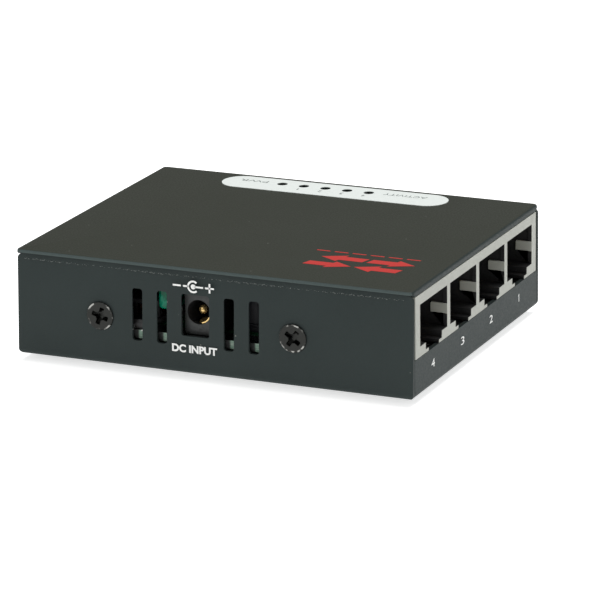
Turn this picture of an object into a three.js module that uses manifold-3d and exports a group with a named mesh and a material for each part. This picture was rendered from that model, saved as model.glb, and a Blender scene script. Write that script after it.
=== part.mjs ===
// A four-port desktop Ethernet switch in a small folded-steel case.
//
// Frame, in millimetres: X runs along the case towards the four network sockets, Y runs from the
// wall with the power socket to the wall behind the indicator label, and Z is up. The origin is the
// middle of the footprint, on the surface that the rubber feet stand on.
import * as THREE from "three";
import { mergeVertices } from "three/addons/utils/BufferGeometryUtils.js";
import Module from "manifold-3d";

const wasm = await Module();
wasm.setup();

// ---------------------------------------------------------------------------------------------
// Driving dimensions
// ---------------------------------------------------------------------------------------------

// Folded-steel case
const CASE_LENGTH = 76.4;
const SHEET = 0.8;
const COVER_SHEET = 0.7;
const BEND_RADIUS = 1.0; // outside of the folds along the bottom
const CORNER_RADIUS = 0.9; // rounded corners of the cover and of the long walls
const COVER_EDGE_RADIUS = 0.4;
const SEAM = 0.25; // gap under the cover's edge
const CORNER_SLIT = 0.15; // gap where a short wall meets a long one

// Rubber feet
const FOOT_HEIGHT = 1.2;
const FOOT_RADIUS = 4.0;
const FOOT_EDGE_RADIUS = 0.35;
const FOOT_INSET = 8.5; // foot centre from the case's edges

// Network sockets: one ganged housing
const PORTS = 4;
const PORT_WIDTH = 12.5; // mouth of one socket
const PORT_DIVIDER = 1.47; // wall between two mouths
const JACK_END_WALL = 2.2;
const JACK_HEIGHT = 11.3;
const JACK_PAD = 0.25; // height of the pads under the housing
const JACK_PAD_LENGTH = 2.0;
const JACK_DEPTH = 18.0;
const JACK_SIDE_CLEARANCE = 0.5;
const JACK_HEADROOM = 0.5; // under the cover
const MOUTH_FLOOR = 1.9; // above the underside of the housing
const JACK_TOP_BAR = 1.9; // over the mouths
const MOUTH_LIP = 0.8; // depth of the lip before the socket widens
const CAVITY_WIDENING = 0.35; // on each side, behind the lip
const CAVITY_DEPTH = 13.2;
const CAVITY_RISE = 0.55; // cavity roof above the mouth's top
const RIB_HEIGHT = 1.85;
const RIB_FLOOR = 2.35; // above the mouth's floor
const RIB_DEPTH = 3.2;
const LATCH_WIDE = 7.4;
const LATCH_NARROW = 4.75;
const LATCH_STEP = 0.65; // height of the narrow part
const LATCH_DEPTH = 12.6;
const LATCH_NARROW_DEPTH = 7.0;

// Contact inserts and their sprung wires
const CONTACTS = 8;
const CONTACT_PITCH = 1.02;
const CONTACT_WIDTH = 0.42;
const CONTACT_THICKNESS = 0.3;
const CONTACT_PIVOT_DEPTH = 2.2; // behind the housing's face
const CONTACT_PIVOT_DROP = 2.15; // below the housing's top
const CONTACT_BAR_RADIUS = 0.25;
const CONTACT_REACH = 9.0;
const CONTACT_DROP = 3.2;
const INSERT_WIDTH = 11.6;
const INSERT_BACK = 4.5; // thickness of the upright block
const SHELF_THICKNESS = 0.65;
const SHELF_GAP = 0.15; // shelf's front to the sprung wires' bar
const COMB_WALL = 0.4;
const COMB_DEPTH = 2.8;
const COMB_HEIGHT = 4.6;

// Power socket
const SOCKET_WIDTH = 5.4;
const SOCKET_DEPTH = 11.0;
const SOCKET_AXIS_RISE = 4.25; // bore axis above the board
const SOCKET_TOP_RISE = 3.8; // body top above the bore axis
const SOCKET_SETBACK = 1.15; // face behind the wall's inner side
const BORE_RADIUS = 2.2;
const BORE_DEPTH = 9.2;
const PIN_RADIUS = 0.8;
const PIN_ROOT_RADIUS = 1.0;
const PIN_SETBACK = 1.3; // tip behind the socket's face
const LEAF_WIDTH = 1.8;
const LEAF_THICKNESS = 0.3;
const LEAF_SLOT_CLEARANCE = 0.3;
const LEAF_APEX_DROP = 1.85; // rubbing point below the bore's axis
const LEAF_APEX_DEPTH = 3.5;
const LEAF_CROWN = 0.9; // half the length of the rubbing crown
const LEAF_TIP_DEPTH = 1.4;
const LEAF_TIP_DROP = 2.6;
const LEAF_TIP_CLEARANCE = 0.5;
const LEAF_ROOT_DEPTH = 9.4;
const LEAF_ROOT_DROP = 3.2;

// Openings in the long walls
const WINDOW_WIDTH = 5.4; // hole in front of the power socket
const WINDOW_HEIGHT = 7.6;
const WINDOW_DROP = 0.3; // window's middle below the bore's axis
const WINDOW_RADIUS = 0.5;
const SLOT_WIDTH = 2.0;
const SLOT_HEIGHT = 9.5;
const SLOT_RADIUS = 0.55;
const SLOT_NEAR = 6.5; // near slots from the power socket's axis
const SLOT_FAR = 11.3; // far slots from the power socket's axis
const SOCKET_SHARE = 0.663; // where the slot group stands between the end wall and the sockets
const SCREW_SHARE = 0.586; // where the right screw stands between the slots and the sockets
const SCREW_SLOT_GAP = 6.25; // left screw from the first slot's edge

// Fasteners
const CASE_SCREW_BOARD_GAP = 0.4; // from the countersunk head to the board's edge
const CASE_SCREW_HEAD_RADIUS = 2.7;
const CASE_SCREW_SHANK_RADIUS = 1.45;
const CASE_SCREW_LENGTH = 4.6;
const SCREW_POINT = 0.4; // chamfer at the screw's end
const CASE_SCREW_SINK = 0.05; // head below the wall's face
const CASE_SCREW_RIM = 0.1; // straight edge of the head
const TAB_WIDTH = 5.5;
const TAB_FIT = 0.12; // between a tab and the wall in front of it
const TAB_FLOOR_GAP = 0.3; // above the board
const TAB_COLLAR_WALL = 0.35; // burred collar round the tapped hole
const TAB_COLLAR_LENGTH = 1.0;
const BOARD_SCREW_HEAD_RADIUS = 2.6;
const BOARD_SCREW_HEAD_HEIGHT = 1.7;
const BOARD_SCREW_HEAD_ROUND = 0.6;
const BOARD_SCREW_SHANK_RADIUS = 1.2;
const BOARD_SCREW_TAIL = 3.2; // below the board
const RECESS_SPAN = 3.0; // across the cross recess
const RECESS_WIDTH = 0.75;
const RECESS_DEPTH = 1.1;
const RECESS_TURN = -0.33; // radians

// Board
const STANDOFF_HEIGHT = 4.35;
const STANDOFF_RADIUS = 2.4;
const BOARD_THICKNESS = 1.6;
const BOARD_FIT = 0.4; // board's edge to the walls
const BOARD_HOLE_RADIUS = 1.5;
const BOARD_SCREW_INSET = 8.6; // from the long walls' inner sides
const BOARD_SCREW_LEFT = 3.8; // from the left wall's inner side
const BOARD_SCREW_JACK_GAP = 4.1; // from the back of the network sockets
const FIT = 0.05; // parts that stand on each other
const RUNNING_CLEARANCE = 0.1; // plastic in plastic, thread in hole

// Indicators and their label
const LEDS = 5;
const LED_PITCH = 4.4;
const LED_RADIUS = 1.5;
const LED_FLANGE_RADIUS = 1.9;
const LED_FLANGE_HEIGHT = 0.9;
const LED_BODY_HEIGHT = 5.3;
const LED_TIP_GAP = 0.3; // below the cover
const LED_EDGE = 4.5; // row from the far edge of the cover
const LED_ROW_X = -2.6;
const LED_HOLE_RADIUS = 1.1;
const SPACER_BORE_RADIUS = 0.9;
const LABEL_LENGTH = 45.4;
const LABEL_WIDTH = 7.8;
const LABEL_THICKNESS = 0.12;
const LABEL_X = -0.4;
const LABEL_EDGE = 1.6; // from the far edge of the cover
const LABEL_HOLE_RADIUS = 0.98;

// Parts on the board: [length along X, along Y, height]
const CHIP_SIZE = [14, 20, 2.4];
const CHIP_LEAD_REACH = 1.6;
const CHIP_LEAD_THICKNESS = 0.2;
const MAGNETICS_SIZE = [9.5, 14, 5.6];
const CRYSTAL_SIZE = [4.7, 11.3, 3.5];
const INDUCTOR_SIZE = [7.3, 7.3, 4.2];
const REGULATOR_SIZE = [6.5, 3.5, 1.7];
const DIODE_SIZE = [4.4, 2.6, 2.2];
const PART_GAP = 1.2; // least gap between neighbours on the board
const CAN_RADIUS = 3.15;
const CAN_HEIGHT = 7.2;
const CAN_EDGE = 0.35;
const CAN_BEAD = 0.28; // depth of the groove round the can's foot
const FILM_SIZE = [3.5, 7.2];
const FILM_HEADROOM = 0.8; // under the cover
const FILM_CORNER_RADIUS = 1.3;
const FILM_LEAD = 4.1; // bare leads under the film capacitor
const FILM_LEAD_RADIUS = 0.3;
const FILM_SPACING = 5.0;
const FILM_SOCKET_GAP = 1.5; // beside the power socket
const FILM_WALL_GAP = 0.6; // behind the vent slots
const CAN_SOCKET_GAP = 3.0;

const OVERRUN = 1; // how far a cutting shape runs past what it cuts
const LAP = 0.2; // how far two joined shapes run into each other
const ROUND = 24; // sides of a small round piece
const FINE_ROUND = 32; // sides of a hole that shows

// ---------------------------------------------------------------------------------------------
// Places that follow from the dimensions. Heights are above the case's own underside.
// ---------------------------------------------------------------------------------------------

const portPitch = PORT_WIDTH + PORT_DIVIDER;
const jackWidth = PORTS * PORT_WIDTH + (PORTS - 1) * PORT_DIVIDER + 2 * JACK_END_WALL;
const caseWidth = jackWidth + 2 * JACK_SIDE_CLEARANCE + 2 * SHEET;
const endX = CASE_LENGTH / 2;
const sideY = caseWidth / 2;
const boardBottom = SHEET + STANDOFF_HEIGHT;
const boardTop = boardBottom + BOARD_THICKNESS;
const jackBottom = boardTop + FIT + JACK_PAD;
const jackTop = jackBottom + JACK_HEIGHT;
const coverUnderside = jackTop + JACK_HEADROOM;
const caseHeight = coverUnderside + COVER_SHEET;
const wallTop = coverUnderside - SEAM;
const lipBottom = jackTop + CORNER_SLIT;
const endWallTop = lipBottom - SEAM;
const portWallTop = jackBottom - FIT;
const jackBack = endX - JACK_DEPTH;
const innerEndX = endX - SHEET;
const innerSideY = sideY - SHEET;

const slotGroupWidth = 2 * SLOT_FAR + SLOT_WIDTH;
const freeLength = innerEndX + jackBack - slotGroupWidth;
const socketX = -innerEndX + SOCKET_SHARE * freeLength + slotGroupWidth / 2;
const socketFaceY = -innerSideY + SOCKET_SETBACK;
const socketAxisZ = boardTop + SOCKET_AXIS_RISE;
const slotXs = [-SLOT_FAR, -SLOT_NEAR, SLOT_NEAR, SLOT_FAR].map((offset) => socketX + offset);
const slotsRight = socketX + slotGroupWidth / 2;
const caseScrewXs = [
  socketX - slotGroupWidth / 2 - SCREW_SLOT_GAP,
  slotsRight + SCREW_SHARE * (jackBack - slotsRight),
];
const tabHoleRadius = CASE_SCREW_SHANK_RADIUS + RUNNING_CLEARANCE;
const tabCollarRadius = tabHoleRadius + TAB_COLLAR_WALL;
const screwReach = CASE_SCREW_HEAD_RADIUS + CASE_SCREW_SINK + CASE_SCREW_RIM; // on the wall's face
const headAtBoardEdge = screwReach - SHEET - BOARD_FIT;
const caseScrewRise = Math.max(headAtBoardEdge + CASE_SCREW_BOARD_GAP, tabCollarRadius + FIT);
const caseScrewZ = boardTop + caseScrewRise;
const boardScrewXs = [-innerEndX + BOARD_SCREW_LEFT, jackBack - BOARD_SCREW_JACK_GAP];
const boardScrewY = innerSideY - BOARD_SCREW_INSET;
const ledY = sideY - LED_EDGE;
const ledXs = Array.from({ length: LEDS }, (_, k) => LED_ROW_X + (k - (LEDS - 1) / 2) * LED_PITCH);
const labelY = sideY - LABEL_EDGE - LABEL_WIDTH / 2;
const portYs = Array.from({ length: PORTS }, (_, k) => ((PORTS - 1) / 2 - k) * portPitch); // port 1 first
const mouthFloorZ = jackBottom + MOUTH_FLOOR;
const mouthTopZ = jackTop - JACK_TOP_BAR;
const pivotX = endX - CONTACT_PIVOT_DEPTH;
const pivotZ = jackTop - CONTACT_PIVOT_DROP;
const combFrontX = endX - CAVITY_DEPTH + COMB_DEPTH;

// ---------------------------------------------------------------------------------------------
// Materials
// ---------------------------------------------------------------------------------------------

const finish = (color, roughness, metalness = 0) =>
  new THREE.MeshStandardMaterial({ color, roughness, metalness });
const PAINT = finish(0x2b2e2d, 0.55);
const SCREW_BLACK = finish(0x1c1c1c, 0.4, 0.7);
const NICKEL = finish(0xb8b8b4, 0.3, 1);
const JACK_GREY = finish(0xb4b3a8, 0.5);
const BLACK_PLASTIC = finish(0x101010, 0.5);
const GOLD = finish(0xd8a94a, 0.25, 1);
const RUBBER = finish(0x1a1a1a, 0.9);
const LABEL_WHITE = finish(0xe2e9e7, 0.5);
const BOARD_GREEN = finish(0x1f6b3a, 0.45);
const LED_GREEN = finish(0x2f6f4a, 0.2);
const FILM_GREEN = finish(0x0d7a4a, 0.25);

// ---------------------------------------------------------------------------------------------
// Solids
// ---------------------------------------------------------------------------------------------

// A closed geometry as a manifold-3d solid.
function solid(geometry) {
  const loose = geometry.index ? geometry.toNonIndexed() : geometry;
  const bare = new THREE.BufferGeometry().setAttribute("position", loose.getAttribute("position"));
  const merged = mergeVertices(bare, 1e-4);
  return new wasm.Manifold(
    new wasm.Mesh({
      numProp: 3,
      vertProperties: merged.attributes.position.array,
      triVerts: new Uint32Array(merged.index.array),
    }),
  );
}

function geometryOf(body) {
  const mesh = body.getMesh();
  const points = new Float32Array(mesh.numVert * 3);
  for (let i = 0; i < mesh.numVert; i++) {
    for (let axis = 0; axis < 3; axis++) points[3 * i + axis] = mesh.vertProperties[mesh.numProp * i + axis];
  }
  return new THREE.BufferGeometry()
    .setAttribute("position", new THREE.BufferAttribute(points, 3))
    .setIndex(new THREE.BufferAttribute(new Uint32Array(mesh.triVerts), 1));
}

const joined = (bodies) => bodies.reduce((whole, body) => whole.add(body));
const cut = (body, tools) => tools.reduce((left, tool) => left.subtract(tool), body);

// A box between two corners.
function box([x0, y0, z0], [x1, y1, z1]) {
  const geometry = new THREE.BoxGeometry(x1 - x0, y1 - y0, z1 - z0);
  return solid(geometry.translate((x0 + x1) / 2, (y0 + y1) / 2, (z0 + z1) / 2));
}

// A rounded rectangle; bottom and top corners may have their own radii.
function roundedRectangle(x0, y0, x1, y1, bottomRadius, topRadius = bottomRadius) {
  const shape = new THREE.Shape();
  shape.absarc(x0 + bottomRadius, y0 + bottomRadius, bottomRadius, Math.PI, 1.5 * Math.PI);
  shape.absarc(x1 - bottomRadius, y0 + bottomRadius, bottomRadius, 1.5 * Math.PI, 2 * Math.PI);
  shape.absarc(x1 - topRadius, y1 - topRadius, topRadius, 0, 0.5 * Math.PI);
  shape.absarc(x0 + topRadius, y1 - topRadius, topRadius, 0.5 * Math.PI, Math.PI);
  shape.closePath();
  return shape;
}

function prism(shape, length, matrix, curveSegments = 6) {
  const geometry = new THREE.ExtrudeGeometry(shape, { depth: length, bevelEnabled: false, curveSegments });
  return solid(geometry.applyMatrix4(matrix));
}

function axes(x, y, z, place) {
  const turned = new THREE.Matrix4().makeBasis(
    new THREE.Vector3(...x),
    new THREE.Vector3(...y),
    new THREE.Vector3(...z),
  );
  return turned.setPosition(...place);
}

// Shapes drawn in (Y, Z), (X, Z) and (X, Y), and carried along the third axis.
const prismX = (shape, x0, x1) => prism(shape, x1 - x0, axes([0, 1, 0], [0, 0, 1], [1, 0, 0], [x0, 0, 0]));
const prismY = (shape, y0, y1) => prism(shape, y1 - y0, axes([1, 0, 0], [0, 0, 1], [0, -1, 0], [0, y1, 0]));
const prismZ = (shape, z0, z1) => prism(shape, z1 - z0, axes([1, 0, 0], [0, 1, 0], [0, 0, 1], [0, 0, z0]));

// A cone or cylinder along Y or Z: radius0 at the low end, radius1 at the high end.
function coneY(x, z, y0, radius0, y1, radius1, sides = FINE_ROUND) {
  const geometry = new THREE.CylinderGeometry(radius1, radius0, y1 - y0, sides);
  return solid(geometry.translate(x, (y0 + y1) / 2, z));
}

function coneZ(x, y, z0, radius0, z1, radius1, sides = ROUND) {
  const geometry = new THREE.CylinderGeometry(radius1, radius0, z1 - z0, sides).rotateX(Math.PI / 2);
  return solid(geometry.translate(x, y, (z0 + z1) / 2));
}

// A turned piece about Y, from a profile of [radius, height] points that starts and ends on the
// axis. The profile may run either way.
function turnedY(profile, sides = ROUND) {
  const area = profile.reduce((sum, [x, y], i) => {
    const [nextX, nextY] = profile[(i + 1) % profile.length];
    return sum + x * nextY - nextX * y;
  }, 0);
  const ordered = area > 0 ? profile : [...profile].reverse();
  return new THREE.LatheGeometry(
    ordered.map(([radius, height]) => new THREE.Vector2(radius, height)),
    sides,
  );
}

const turnedZ = (profile, sides) => turnedY(profile, sides).rotateX(Math.PI / 2);

function arcPoints(cx, cy, radius, from, to, steps) {
  return Array.from({ length: steps + 1 }, (_, i) => {
    const angle = from + ((to - from) * i) / steps;
    return [cx + radius * Math.cos(angle), cy + radius * Math.sin(angle)];
  });
}

function named(name, geometry, material, place = [0, 0, 0]) {
  const mesh = new THREE.Mesh(geometry, material);
  mesh.name = name;
  mesh.position.set(...place);
  return mesh;
}

// ---------------------------------------------------------------------------------------------
// Base tray: bottom, two long walls folded up, a low wall under the sockets and an end wall
// ---------------------------------------------------------------------------------------------

function longWallSection() {
  const inner = BEND_RADIUS - SHEET;
  const section = new THREE.Shape();
  section.moveTo(-sideY, wallTop);
  section.absarc(-sideY + BEND_RADIUS, BEND_RADIUS, BEND_RADIUS, Math.PI, 1.5 * Math.PI);
  section.absarc(sideY - BEND_RADIUS, BEND_RADIUS, BEND_RADIUS, 1.5 * Math.PI, 2 * Math.PI);
  section.lineTo(sideY, wallTop);
  section.lineTo(sideY - SHEET, wallTop);
  section.absarc(sideY - BEND_RADIUS, BEND_RADIUS, inner, 2 * Math.PI, 1.5 * Math.PI, true);
  section.absarc(-sideY + BEND_RADIUS, BEND_RADIUS, inner, 1.5 * Math.PI, Math.PI, true);
  section.lineTo(-sideY + SHEET, wallTop);
  section.closePath();
  return section;
}

function shortWall(side, top) {
  const inner = BEND_RADIUS - SHEET;
  const section = new THREE.Shape();
  section.moveTo(endX - BEND_RADIUS, 0);
  section.absarc(endX - BEND_RADIUS, BEND_RADIUS, BEND_RADIUS, -0.5 * Math.PI, 0);
  section.lineTo(endX, top);
  section.lineTo(endX - SHEET, top);
  section.absarc(endX - BEND_RADIUS, BEND_RADIUS, inner, 0, -0.5 * Math.PI, true);
  section.closePath();
  const reach = innerSideY - CORNER_SLIT;
  const wall = prismY(section, -reach, reach);
  return side > 0 ? wall : wall.rotate([0, 0, 180]);
}

function wallOpenings(side) {
  const outer = side * (sideY + OVERRUN);
  const inner = side * (innerSideY - LAP);
  const [y0, y1] = [Math.min(outer, inner), Math.max(outer, inner)];
  const low = (caseHeight - SLOT_HEIGHT) / 2;
  const half = SLOT_WIDTH / 2;
  const slots = slotXs.map((x) =>
    prismY(roundedRectangle(x - half, low, x + half, low + SLOT_HEIGHT, SLOT_RADIUS), y0, y1),
  );
  const sinks = caseScrewXs.map((x) => countersink(x, side));
  return [...slots, ...sinks];
}

// The 90-degree seat of a flat-headed screw, cut from outside the wall.
function countersink(x, side) {
  const wide = screwReach + FIT + OVERRUN;
  const hole = tabHoleRadius;
  const outer = side * (sideY + OVERRUN);
  const tip = outer - side * (wide - hole);
  const through = tip - side * (SHEET + OVERRUN);
  const seat =
    side > 0 ? coneY(x, caseScrewZ, tip, hole, outer, wide) : coneY(x, caseScrewZ, outer, wide, tip, hole);
  const pilot = coneY(x, caseScrewZ, Math.min(through, tip), hole, Math.max(through, tip), hole);
  return seat.add(pilot);
}

function windowInWall() {
  const middle = socketAxisZ - WINDOW_DROP;
  const shape = roundedRectangle(
    socketX - WINDOW_WIDTH / 2,
    middle - WINDOW_HEIGHT / 2,
    socketX + WINDOW_WIDTH / 2,
    middle + WINDOW_HEIGHT / 2,
    WINDOW_RADIUS,
  );
  return prismY(shape, -sideY - OVERRUN, -innerSideY + LAP);
}

function baseTray() {
  const walls = prismX(longWallSection(), -endX, endX);
  const whole = joined([walls, shortWall(1, portWallTop), shortWall(-1, endWallTop)]);
  const outline = prismY(
    roundedRectangle(-endX, 0, endX, wallTop, BEND_RADIUS, CORNER_RADIUS),
    -sideY - OVERRUN,
    sideY + OVERRUN,
  );
  const trimmed = whole.intersect(outline);
  return geometryOf(cut(trimmed, [...wallOpenings(-1), ...wallOpenings(1), windowInWall()]));
}

// ---------------------------------------------------------------------------------------------
// Top cover: a plate with short lips at its ends and four tapped tabs inside the long walls
// ---------------------------------------------------------------------------------------------

function coverPlate() {
  const edge = COVER_EDGE_RADIUS;
  const shape = roundedRectangle(
    -endX + edge,
    -sideY + edge,
    endX - edge,
    sideY - edge,
    CORNER_RADIUS - edge,
  );
  const plate = new THREE.ExtrudeGeometry(shape, {
    depth: COVER_SHEET - edge,
    bevelThickness: edge,
    bevelSize: edge,
    bevelSegments: 4,
    curveSegments: 6,
  }).translate(0, 0, coverUnderside);
  const above = box([-CASE_LENGTH, -caseWidth, coverUnderside], [CASE_LENGTH, caseWidth, 2 * caseHeight]);
  return solid(plate).intersect(above);
}

function coverLip(side) {
  const reach = innerSideY - CORNER_SLIT;
  const [x0, x1] = side > 0 ? [endX - COVER_SHEET, endX] : [-endX, COVER_SHEET - endX];
  return box([x0, -reach, lipBottom], [x1, reach, coverUnderside + COVER_SHEET / 2]);
}

function coverTab(x, side) {
  const outer = innerSideY - TAB_FIT;
  const inner = outer - COVER_SHEET;
  const [y0, y1] = side > 0 ? [inner, outer] : [-outer, -inner];
  const half = TAB_WIDTH / 2;
  const tab = box([x - half, y0, boardTop + TAB_FLOOR_GAP], [x + half, y1, coverUnderside + COVER_SHEET / 2]);
  const collarEnd = inner - TAB_COLLAR_LENGTH;
  const [c0, c1] = side > 0 ? [collarEnd, outer - FIT] : [FIT - outer, -collarEnd];
  return tab.add(coneY(x, caseScrewZ, c0, tabCollarRadius, c1, tabCollarRadius, ROUND));
}

function tappedHole(x, side) {
  const far = innerSideY - TAB_FIT - COVER_SHEET - TAB_COLLAR_LENGTH - OVERRUN;
  const near = innerSideY;
  const [y0, y1] = side > 0 ? [far, near] : [-near, -far];
  return coneY(x, caseScrewZ, y0, tabHoleRadius, y1, tabHoleRadius, ROUND).add(countersink(x, side));
}

function topCover() {
  const places = [-1, 1].flatMap((side) => caseScrewXs.map((x) => [x, side]));
  const tabs = places.map(([x, side]) => coverTab(x, side));
  const ledHoles = ledXs.map((x) =>
    coneZ(x, ledY, lipBottom, LED_HOLE_RADIUS, caseHeight + OVERRUN, LED_HOLE_RADIUS, FINE_ROUND),
  );
  const whole = joined([coverPlate(), coverLip(1), coverLip(-1), ...tabs]);
  return geometryOf(cut(whole, [...places.map(([x, side]) => tappedHole(x, side)), ...ledHoles]));
}

// ---------------------------------------------------------------------------------------------
// Fasteners, standoffs and feet
// ---------------------------------------------------------------------------------------------

// Two crossed slots that narrow towards the bottom, cut into a head whose face is at y = 0 and
// whose shank runs towards +Y.
function crossRecess() {
  const blade = (turn) => {
    const outline = new THREE.Shape([
      new THREE.Vector2(-RECESS_SPAN / 2, -0.5),
      new THREE.Vector2(RECESS_SPAN / 2, -0.5),
      new THREE.Vector2(RECESS_SPAN / 2, 0),
      new THREE.Vector2(RECESS_SPAN / 5, RECESS_DEPTH),
      new THREE.Vector2(-RECESS_SPAN / 5, RECESS_DEPTH),
      new THREE.Vector2(-RECESS_SPAN / 2, 0),
    ]);
    const geometry = new THREE.ExtrudeGeometry(outline, { depth: RECESS_WIDTH, bevelEnabled: false });
    return solid(geometry.translate(0, 0, -RECESS_WIDTH / 2).rotateY(turn + RECESS_TURN));
  };
  return blade(0).add(blade(Math.PI / 2));
}

function caseScrew() {
  const cone = CASE_SCREW_HEAD_RADIUS - CASE_SCREW_SHANK_RADIUS;
  const profile = [
    [0, 0],
    [CASE_SCREW_HEAD_RADIUS - CASE_SCREW_RIM / 2, 0],
    [CASE_SCREW_HEAD_RADIUS, CASE_SCREW_RIM / 2],
    [CASE_SCREW_HEAD_RADIUS, CASE_SCREW_RIM],
    [CASE_SCREW_SHANK_RADIUS, cone + CASE_SCREW_RIM],
    [CASE_SCREW_SHANK_RADIUS, CASE_SCREW_LENGTH - SCREW_POINT],
    [CASE_SCREW_SHANK_RADIUS - SCREW_POINT, CASE_SCREW_LENGTH],
    [0, CASE_SCREW_LENGTH],
  ];
  return geometryOf(solid(turnedY(profile)).subtract(crossRecess()));
}

function caseScrews() {
  const shared = caseScrew();
  const places = [-1, 1].flatMap((side) => caseScrewXs.map((x) => [x, side]));
  return places.map(([x, side], i) => {
    const place = [x, side * (sideY - CASE_SCREW_SINK), caseScrewZ];
    const mesh = named(`case_screw_${i + 1}`, shared, SCREW_BLACK, place);
    if (side > 0) mesh.rotation.z = Math.PI;
    return mesh;
  });
}

function boardScrew() {
  const head = BOARD_SCREW_HEAD_RADIUS;
  const height = BOARD_SCREW_HEAD_HEIGHT;
  const round = BOARD_SCREW_HEAD_ROUND;
  const tail = BOARD_THICKNESS + BOARD_SCREW_TAIL;
  const profile = [
    [0, 0],
    ...arcPoints(head - round, round, round, -0.5 * Math.PI, 0, 3),
    [head, height - FIT],
    [BOARD_SCREW_SHANK_RADIUS, height - FIT],
    [BOARD_SCREW_SHANK_RADIUS, height + tail],
    [0, height + tail],
  ];
  return geometryOf(solid(turnedY(profile)).subtract(crossRecess())).rotateX(-Math.PI / 2);
}

function standoff() {
  const profile = [
    [BOARD_SCREW_SHANK_RADIUS + RUNNING_CLEARANCE, 0],
    [STANDOFF_RADIUS, 0],
    [STANDOFF_RADIUS, STANDOFF_HEIGHT],
    [BOARD_SCREW_SHANK_RADIUS + RUNNING_CLEARANCE, STANDOFF_HEIGHT],
    [BOARD_SCREW_SHANK_RADIUS + RUNNING_CLEARANCE, 0],
  ];
  return turnedZ(profile, ROUND);
}

function boardFixings() {
  const screw = boardScrew();
  const post = standoff();
  const places = [-1, 1].flatMap((side) => boardScrewXs.map((x) => [x, side * boardScrewY]));
  return places.flatMap(([x, y], i) => [
    named(`board_standoff_${i + 1}`, post, NICKEL, [x, y, SHEET]),
    named(`board_screw_${i + 1}`, screw, NICKEL, [x, y, boardTop + BOARD_SCREW_HEAD_HEIGHT]),
  ]);
}

function rubberFeet() {
  const round = FOOT_EDGE_RADIUS;
  const profile = [
    [0, 0],
    ...arcPoints(FOOT_RADIUS - round, round, round, -0.5 * Math.PI, 0, 4),
    [FOOT_RADIUS, FOOT_HEIGHT],
    [0, FOOT_HEIGHT],
  ];
  const shared = turnedZ(profile, 32);
  const [x, y] = [endX - FOOT_INSET, sideY - FOOT_INSET];
  const places = [[-x, -y], [x, -y], [-x, y], [x, y]];
  return places.map(([px, py], i) => named(`rubber_foot_${i + 1}`, shared, RUBBER, [px, py, -FOOT_HEIGHT]));
}

// ---------------------------------------------------------------------------------------------
// Circuit board
// ---------------------------------------------------------------------------------------------

function circuitBoard() {
  const [x, y] = [innerEndX - BOARD_FIT, innerSideY - BOARD_FIT];
  const outline = roundedRectangle(-x, -y, x, y, 1);
  for (const px of boardScrewXs) {
    for (const py of [-boardScrewY, boardScrewY]) {
      const hole = new THREE.Path().absarc(px, py, BOARD_HOLE_RADIUS, 0, 2 * Math.PI, true);
      outline.holes.push(hole);
    }
  }
  return geometryOf(prismZ(outline, boardBottom, boardTop));
}

// A box of the given size standing on the board at x, y.
function onBoard(x, y, [length, width, height], rise = FIT) {
  const z = boardTop + rise;
  return box([x - length / 2, y - width / 2, z], [x + length / 2, y + width / 2, z + height]);
}

function switchChip(x, y) {
  const [length, width] = CHIP_SIZE;
  const reach = 2 * CHIP_LEAD_REACH;
  const leads = onBoard(x, y, [length + reach, width + reach, CHIP_LEAD_THICKNESS]);
  const acrossX = onBoard(x, y, [2 * length, width - CHIP_LEAD_REACH, CHIP_SIZE[2]]);
  const acrossY = onBoard(x, y, [length - CHIP_LEAD_REACH, 2 * width, CHIP_SIZE[2]]);
  return geometryOf(leads.intersect(acrossX.add(acrossY)).add(onBoard(x, y, CHIP_SIZE)));
}

function filterCan() {
  const [r, h, round, bead] = [CAN_RADIUS, CAN_HEIGHT, CAN_EDGE, CAN_BEAD];
  const profile = [
    [0, 0],
    [r - round, 0],
    [r, round],
    [r, 4 * bead],
    [r - bead, 5 * bead],
    [r, 6 * bead],
    [r, h - round],
    [r - round, h],
    [0, h],
  ];
  return turnedZ(profile, ROUND);
}

function filmCapacitor(x, y) {
  const [thickness, length] = FILM_SIZE;
  const z = boardTop + FIT + FILM_LEAD;
  const top = coverUnderside - FILM_HEADROOM;
  const body = roundedRectangle(x - thickness / 2, z, x + thickness / 2, top, FILM_CORNER_RADIUS);
  const leads = [-1, 1].map((end) =>
    coneZ(x, y + (end * FILM_SPACING) / 2, boardTop + FIT, FILM_LEAD_RADIUS, z + LAP, FILM_LEAD_RADIUS, 12),
  );
  return geometryOf(joined([prismY(body, y - length / 2, y + length / 2), ...leads]));
}

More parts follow.
